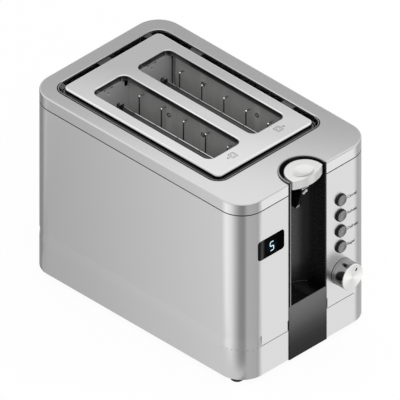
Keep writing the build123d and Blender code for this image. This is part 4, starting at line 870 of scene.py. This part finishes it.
EYELETS = {"heater_card_centre": (41.75, 0.25), "heater_card_right": (53.55, -12.45)}
EYELET_Z, EYELET_RADIUS, EYELET_WIRE, EYELET_PROUD = 168.2 * MM, 1.75 * MM, 0.5 * MM, 0.3 * MM
STRIP_WIDTH, STRIP_HEIGHT, STRIP_DROP, STRIP_PROUD = 6.5 * MM, 30 * MM, 15.3 * MM, 0.1 * MM
rings, strips = [], []
for name, places in EYELETS.items():
    low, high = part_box(name)
    for y in places:
        strip_at = (low.x - STRIP_PROUD, y * MM, high.z - STRIP_DROP)
        strips.append(moved(flat(STRIP_WIDTH, STRIP_HEIGHT), strip_at, LEFT))
        eyelet_at = (low.x - EYELET_PROUD, y * MM, EYELET_Z)
        rings.append(moved(ring(EYELET_RADIUS, EYELET_WIRE, 20, 6), eyelet_at, LEFT))
piece("card_strips", joined(strips), "card_strip")
piece("card_eyelets", joined(rings), "dark_plate")


# Black marks of painted shade where openings show dark, and a tab, on the rear end plate of the toast cage,
# as (left, right, low, high) in millimetres

REAR_SHADE_MARKS = [(-7.8, -0.7, 182.0, 185.0), (-12.8, -6.8, 150.0, 158.8), (40.8, 46.6, 150.0, 158.8),
                 (51.6, 53.0, 150.0, 184.0)]
# The marks of painted shade over the pin at the end of each slot, with left and right counted from the slot's
# middle
SLOTS_X = (-26.8, 26.2)
SLOT_SHADE_MARKS = [(-4.6, -2.6, 182.9, 184.2), (4.4, 6.4, 182.5, 183.8), (-3.6, 5.5, 183.4, 183.8),
                 (0.4, 1.8, 178.6, 179.9)]
PIN_ASIDE, PIN_Z = 1.2, 177.6
PIN = [(0, 0.5), (0.6, 0.35), (0.75, -0.1)]
KEYHOLE_TAB = (-6.2, -1.4, 170.8, 176.2)
CAGE_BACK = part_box("rear_end_plate")[0].y


def on_rear_wall(x0, x1, z0, z1, lift=PRINT_LIFT):
    """A flat patch on the rear end plate, its sides in millimetres."""
    at = ((x0 + x1) / 2 * MM, CAGE_BACK - lift, (z0 + z1) / 2 * MM)
    return upright(flat((x1 - x0) * MM, (z1 - z0) * MM), at)


marks = [on_rear_wall(*sides) for sides in REAR_SHADE_MARKS]
pins = []
for middle in SLOTS_X:
    marks += [on_rear_wall(middle + x0, middle + x1, z0, z1) for x0, x1, z0, z1 in SLOT_SHADE_MARKS]
    pins.append(moved(turned(PIN, 12), ((middle + PIN_ASIDE) * MM, CAGE_BACK, PIN_Z * MM), FORWARD))
piece("rear_shade_marks", joined(marks), "seam_mark_and_shade_black")
piece("rear_pins", joined(pins), "bright_steel")
piece("keyhole_tab", on_rear_wall(*KEYHOLE_TAB, lift=PRINT_LIFT / 2), "zinc_plate")


# Painted highlights along the racks' edges between the wires, painted shadow lines beside them, and their end
# caps

RACK_FRONT, RACK_REAR = CAGE_BACK - 143 * MM, CAGE_BACK - 6.2 * MM
WIRE_CLEAR = 0.55 * MM
SHORTEST_EDGE = 2 * MM
EDGE_WIDTH, EDGE_HEIGHT = 0.6 * MM, 0.35 * MM
RACK_SHADOW_INSET, RACK_SHADOW_WIDTH = 1.2 * MM, 1.0 * MM
CAP_INSET, CAP_PROUD, CAP_LENGTH, CAP_RISE = 2.6 * MM, 0.3 * MM, 3.4 * MM, 0.1 * MM
stops = [RACK_FRONT, *WIRES_Y, RACK_REAR]
spans = [(y0 + WIRE_CLEAR, y1 - WIRE_CLEAR) for y0, y1 in zip(stops, stops[1:]) if y1 - y0 > SHORTEST_EDGE]
for side in ("left", "right"):
    low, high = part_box(f"rack_{side}")
    x, z = high.x, high.z + PRINT_LIFT
    bright = ((x - EDGE_WIDTH, z), (x, z), (x, high.z + EDGE_HEIGHT))
    edges = joined([prism(bright, y0, y1) for y0, y1 in spans])
    piece(f"rack_highlight_{side}", edges, "rack_bright", "lift_carriage")
    shadow_x = x - RACK_SHADOW_INSET
    line = placed(stroke([(shadow_x, RACK_FRONT), (shadow_x, RACK_REAR)], RACK_SHADOW_WIDTH), (0, 0, z))
    piece(f"rack_shadow_line_{side}", line, "seam_mark_and_shade_black", "lift_carriage")
    cap_front = [(x - CAP_INSET, RACK_REAR), (x + CAP_PROUD, RACK_REAR)]
    cap = strip(cap_front, CAP_LENGTH, low.z, high.z + CAP_RISE)
    piece(f"rack_cap_{side}", cap, "seam_mark_and_shade_black", "lift_carriage")


# Painted highlights on the sloping front of the stem: three pale domes, and two pale marks at its foot

STEM_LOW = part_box("lever_stem")[0]
STEM_DROP, STEM_RUN = HEAD_LOW.z - STEM_LOW.z, 10.9 * MM
STEM_PROUD = 0.25 * MM
STEM_FACING = (0.0, -STEM_DROP, -STEM_RUN)
GLINT_DOME = [(0, 0.9), (0.5, 0.8), (0.85, 0.45), (1.0, 0.0), (0.95, -0.3)]
GLINT_DOMES = [(1.5, 2.0, 12.4), (1.15, 0.9, 13.6), (1.25, -0.1, 14.5)]
GLINT_MARKS_X, GLINT_MARK_DROP = (-2.6, -0.4), 30.6
GLINT_MARK_WIDTH, GLINT_MARK_HEIGHT = 0.8 * MM, 3.4 * MM


def on_stem(mesh, x, drop):
    """Puts a mesh on the sloping front of the stem, with its place in millimetres below the lever head."""
    y = STEM_LOW.y + STEM_RUN * drop * MM / STEM_DROP - STEM_PROUD
    return moved(mesh, (x * MM, y, HEAD_LOW.z - drop * MM), STEM_FACING)


glint_meshes = [on_stem(turned(GLINT_DOME, 14, size), x, drop) for size, x, drop in GLINT_DOMES]
glint_meshes += [on_stem(flat(GLINT_MARK_WIDTH, GLINT_MARK_HEIGHT), x, GLINT_MARK_DROP) for x in GLINT_MARKS_X]
piece("stem_glints", joined(glint_meshes), "glint_pale", "lift_carriage")


# Painted highlights at the bends and ends at the top of the guards' wires: domes of a lighter steel than the
# wires

BEND = [(0, 0.30), (0.7, 0.18), (1.0, -0.1), (0.7, -0.5)]
BEND_FACING = (-0.60, -0.05, 0.80)
BEND_INSET, BEND_DROP = 1.2 * MM, 0.1 * MM
WIRE_END = [(0, 0.5), (0.45, 0.3), (0.6, 0)]
END_DROP = 0.6 * MM
for guard in GUARDS:
    low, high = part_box(f"guard_{guard}")
    lean = 1 if guard in ("left_inner", "right_outer") else -1
    post, far = (low.x, high.x) if lean > 0 else (high.x, low.x)
    tips = []
    for y in WIRES_Y:
        bend_at = (post + lean * BEND_INSET, y, high.z - BEND_DROP)
        tips.append(moved(turned(BEND, 12), bend_at, BEND_FACING))
        tips.append(moved(turned(WIRE_END, 10), (far, y, high.z - END_DROP), (-lean, 0, 0)))
    piece(f"guard_glints_{guard}", joined(tips), "glint_steel", f"guard_{guard}_body")


# Small fasteners on the back and underneath

PANEL_LOW, PANEL_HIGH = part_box("rear_panel")
PANEL_INSET, PANEL_RISE, PANEL_DROP = 6.5 * MM, 26 * MM, 14 * MM
SCREW_HEAD = [(0, 1.0), (1.4, 0.85), (2.3, 0.45), (2.7, 0)]
HEAD_HEIGHT = 1.03 * MM
PANEL_CROSS, BASE_CROSS = (2.4 * MM, 0.6 * MM), (3.2 * MM, 0.8 * MM)
SCREWS_LOW, SCREWS_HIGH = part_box("base_screws")
BASE_SCREW_RADIUS = 3.0 * MM


def cross(size, line):
    """A cross-shaped recess, drawn flat."""
    return joined([flat(size, line), flat(line, size)])


heads, recesses = [], []
for x in (PANEL_LOW.x + PANEL_INSET, PANEL_HIGH.x - PANEL_INSET):
    for z in (PANEL_LOW.z + PANEL_RISE, PANEL_HIGH.z - PANEL_DROP):
        heads.append(moved(turned(SCREW_HEAD, 20), (x, BACK_Y, z), BACKWARD))
        recesses.append(moved(cross(*PANEL_CROSS), (x, BACK_Y + HEAD_HEIGHT, z), BACKWARD))
piece("panel_screws", joined(heads), "screw_steel")
# The black crosses are painted shade in the screws' recesses
piece("panel_screw_recess_shade", joined(recesses), "seam_mark_and_shade_black")

recesses = []
for x in (SCREWS_LOW.x + BASE_SCREW_RADIUS, SCREWS_HIGH.x - BASE_SCREW_RADIUS):
    for y in (SCREWS_LOW.y + BASE_SCREW_RADIUS, SCREWS_HIGH.y - BASE_SCREW_RADIUS):
        recesses.append(moved(cross(*BASE_CROSS), (x, y, SCREWS_LOW.z - PRINT_LIFT), DOWN))
# The black crosses are painted shade in the screws' recesses
piece("base_screw_recess_shade", joined(recesses), "seam_mark_and_shade_black")


# Studio

# Tones that the body's upright faces show round the compass, by the direction their reflection
# looks in: degrees from +X towards +Y
RING = {
    -180: 218, -165: 179, -145: 132, -135: 121, -125: 124, -115: 168, -75: 164, -65: 142, -55: 190, -45: 243,
    -38: 226, -25: 164, -5: 164, 10: 174, 35: 168, 45: 171, 70: 150, 87: 120, 100: 120, 112: 160, 135: 205,
    155: 240, 175: 222, 180: 218,
}
# The tones of the flat top and of the left side, by millimetres over their cards
TOP_STOPS = {-200: 223, -172: 221, -142: 217, -102: 203, -62: 185, -22: 172, 8: 163, 60: 165, 100: 165,
             180: 161, 240: 158}
LEFT_STOPS = {-230: 196, -185: 196, -150: 190.5, -110: 185.5, -90: 183, -50: 176, -10: 170, 25: 166, 60: 158}
SKY_LIGHT = 1.08
ROOM_LEVEL = 0.55
FLOOR_GLOW = 0.95
FLOOR_REACH, FLOOR_DROP, FLOOR_TONE = 6.0, 0.1 * MM, 0.85
# Over these heights of a ray's direction, the ring of tones gives way to the sky
HORIZON = (-0.12, 0.06)
TOP_CARD_Z, TOP_CARD_ROOM = 0.27, 0.075
LEFT_CARD_Z, LEFT_CARD_GAP, LEFT_CARD_WIDTH = -0.05 * MM, 0.2 * MM, 1.2
LAMP_AIM = (0, 0, 0.1)
# Place, size and power of each lamp
LAMPS = {
    "key_lamp": ((-0.9, -1.1, 1.5), 1.2, 14.0),
    "top_lamp": ((0.3, 0.2, 1.8), 1.5, 12.0),
    "fill_lamp": ((1.3, -0.9, 0.9), 1.2, 6.0),
}


def steel_light(tone, base=STEEL_TONE):
    """The light that brushed steel has to reflect to show a display tone."""
    return linear(tone) / base


def stage_piece(name, corners, material_name):
    """One flat face of the studio, which isn't part of the object. Returns it and its node helper."""
    mesh = patch(corners)
    data = bpy.data.meshes.new(name)
    mesh.to_mesh(data)
    mesh.free()
    board = bpy.data.objects.new(name, data)
    bpy.context.scene.collection.objects.link(board)
    material = bpy.data.materials.new(material_name)
    material.use_nodes = True
    data.materials.append(material)
    return board, Nodes(material.node_tree)


def card(name, corners, direction, middle, stops, base=STEEL_TONE):
    """A plain studio card that only shows in polished metal, with tones along a flat direction."""
    board, nodes = stage_piece(name, corners, name)
    first, last = min(stops), max(stops)
    across = nodes.reach(nodes.distance_along(direction), middle + first * MM, middle + last * MM)
    levels = [((s - first) / (last - first), steel_light(tone, base)) for s, tone in stops.items()]
    glow = nodes.add("ShaderNodeEmission")
    nodes.link(nodes.ramp(across, levels), glow.inputs["Color"])
    output = nodes.add("ShaderNodeOutputMaterial")
    nodes.link(glow.outputs["Emission"], output.inputs["Surface"])
    board.visible_camera = board.visible_diffuse = board.visible_shadow = board.visible_transmission = False


def studio_world():
    """White to the camera, an even room for plain surfaces, and the ring of tones for polished ones."""
    world = bpy.data.worlds.new("studio")
    bpy.context.scene.world = world
    world.use_nodes = True
    nodes = Nodes(world.node_tree)
    place = nodes.add("ShaderNodeTexCoord")
    split = nodes.add("ShaderNodeSeparateXYZ")
    nodes.link(place.outputs["Generated"], split.inputs["Vector"])
    angle = nodes.math("ARCTAN2", split.outputs["Y"], split.outputs["X"])
    turn = nodes.math("ADD", nodes.math("DIVIDE", angle, 2 * math.pi), 0.5)
    ring_light = nodes.ramp(turn, [((a + 180) / 360, steel_light(t)) for a, t in RING.items()], "EASE")
    rays = nodes.add("ShaderNodeLightPath")
    back = nodes.add("ShaderNodeBackground")
    back.inputs["Color"].default_value = grey(1.0)
    room = nodes.add("ShaderNodeBackground")
    room.inputs["Color"].default_value = grey(ROOM_LEVEL)
    metal = nodes.add("ShaderNodeBackground")
    above = nodes.add("ShaderNodeMapRange", interpolation_type="SMOOTHSTEP")
    above.inputs["From Min"].default_value, above.inputs["From Max"].default_value = HORIZON
    nodes.link(split.outputs["Z"], above.inputs["Value"])
    zone = nodes.add("ShaderNodeMix", data_type="RGBA")
    nodes.link(above.outputs["Result"], zone.inputs[0])
    nodes.link(ring_light, zone.inputs[6])
    zone.inputs[7].default_value = grey(SKY_LIGHT)
    nodes.link(zone.outputs[2], metal.inputs["Color"])
    inner = nodes.add("ShaderNodeMixShader")
    nodes.link(rays.outputs["Is Glossy Ray"], inner.inputs["Fac"])
    nodes.link(room.outputs["Background"], inner.inputs[1])
    nodes.link(metal.outputs["Background"], inner.inputs[2])
    seen = nodes.math("MAXIMUM", rays.outputs["Is Camera Ray"], rays.outputs["Is Transmission Ray"])
    outer = nodes.add("ShaderNodeMixShader")
    nodes.link(seen, outer.inputs["Fac"])
    nodes.link(inner.outputs["Shader"], outer.inputs[1])
    nodes.link(back.outputs["Background"], outer.inputs[2])
    output = nodes.add("ShaderNodeOutputWorld")
    nodes.link(outer.outputs["Shader"], output.inputs["Surface"])


def floor():
    """A wide pale floor. It stays white to the camera and keeps a faint shadow of the toaster."""
    corners = rectangle(-FLOOR_REACH, FLOOR_REACH, -FLOOR_REACH, FLOOR_REACH)
    ground, nodes = stage_piece("floor", corners, "floor_white")
    plain = nodes.add("ShaderNodeBsdfDiffuse")
    plain.inputs["Color"].default_value = grey(FLOOR_TONE)
    glow = nodes.add("ShaderNodeEmission")
    glow.inputs["Color"].default_value = grey(1.0)
    rays = nodes.add("ShaderNodeLightPath")
    blend = nodes.add("ShaderNodeMixShader")
    nodes.link(nodes.math("MULTIPLY", rays.outputs["Is Camera Ray"], FLOOR_GLOW), blend.inputs["Fac"])
    nodes.link(plain.outputs["BSDF"], blend.inputs[1])
    nodes.link(glow.outputs["Emission"], blend.inputs[2])
    output = nodes.add("ShaderNodeOutputMaterial")
    nodes.link(blend.outputs["Shader"], output.inputs["Surface"])
    ground.visible_glossy = False
    ground.location.z = -FLOOR_DROP


def lamp(name, at, size, power):
    """A square lamp that polished metal doesn't show."""
    light = bpy.data.lights.new(name, "AREA")
    light.size = size
    light.energy = power
    holder = bpy.data.objects.new(name, light)
    holder.location = at
    holder.rotation_mode = "QUATERNION"
    holder.rotation_quaternion = (Vector(LAMP_AIM) - Vector(at)).to_track_quat("-Z", "Y")
    holder.visible_glossy = False
    bpy.context.scene.collection.objects.link(holder)


def left_card():
    """What the left side reflects: a level card beside its foot. Its tones run slantwise, so that each
    shows at one place along the side, over its full height."""
    near = LEFT_X - LEFT_CARD_GAP
    far = near - LEFT_CARD_WIDTH
    first, last = min(LEFT_STOPS), max(LEFT_STOPS)
    ends = ((near, first), (far, first), (far, last), (near, last))
    corners = [(x, MIDDLE_Y + s * MM - x, LEFT_CARD_Z) for x, s in ends]
    card("left_card", corners, (1.0, 1.0, 0.0), MIDDLE_Y, LEFT_STOPS)


def top_card():
    """What the flat top reflects: a level card over it, moved as far aside as the camera's rays go."""
    aside, room = TOP_CARD_Z - TOP_Z, TOP_CARD_ROOM
    corners = rectangle(LEFT_X + aside - room, RIGHT_X + aside + room, FRONT_Y + aside - room,
                        BACK_Y + aside + room, TOP_CARD_Z)
    card("top_card", corners, TOP_ACROSS, MIDDLE_Y + aside * sum(TOP_ACROSS), TOP_STOPS, COVER_TONE)


studio_world()
floor()
for name, (at, size, power) in LAMPS.items():
    lamp(name, at, size, power)
left_card()
top_card()


# Camera

def camera():
    """Looks down the photograph's cube diagonal, without perspective."""
    right = Vector((1, -1, 0)).normalized()
    up = Vector((1, 1, 2)).normalized()
    look = Vector((1, 1, -1)).normalized()
    target = right * VIEW_ASIDE + up * VIEW_UP + Vector((0, MIDDLE_Y, 0))
    data = bpy.data.cameras.new("camera")
    data.type = "ORTHO"
    data.ortho_scale = VIEW_SCALE
    data.clip_end = 10.0
    eye = bpy.data.objects.new("camera", data)
    basis = Matrix((right, up, -look)).transposed().to_4x4()
    eye.matrix_world = Matrix.Translation(target - look * VIEW_DISTANCE) @ basis
    bpy.context.scene.collection.objects.link(eye)
    bpy.context.scene.camera = eye


camera()
bpy.context.scene.view_settings.view_transform = "Standard"
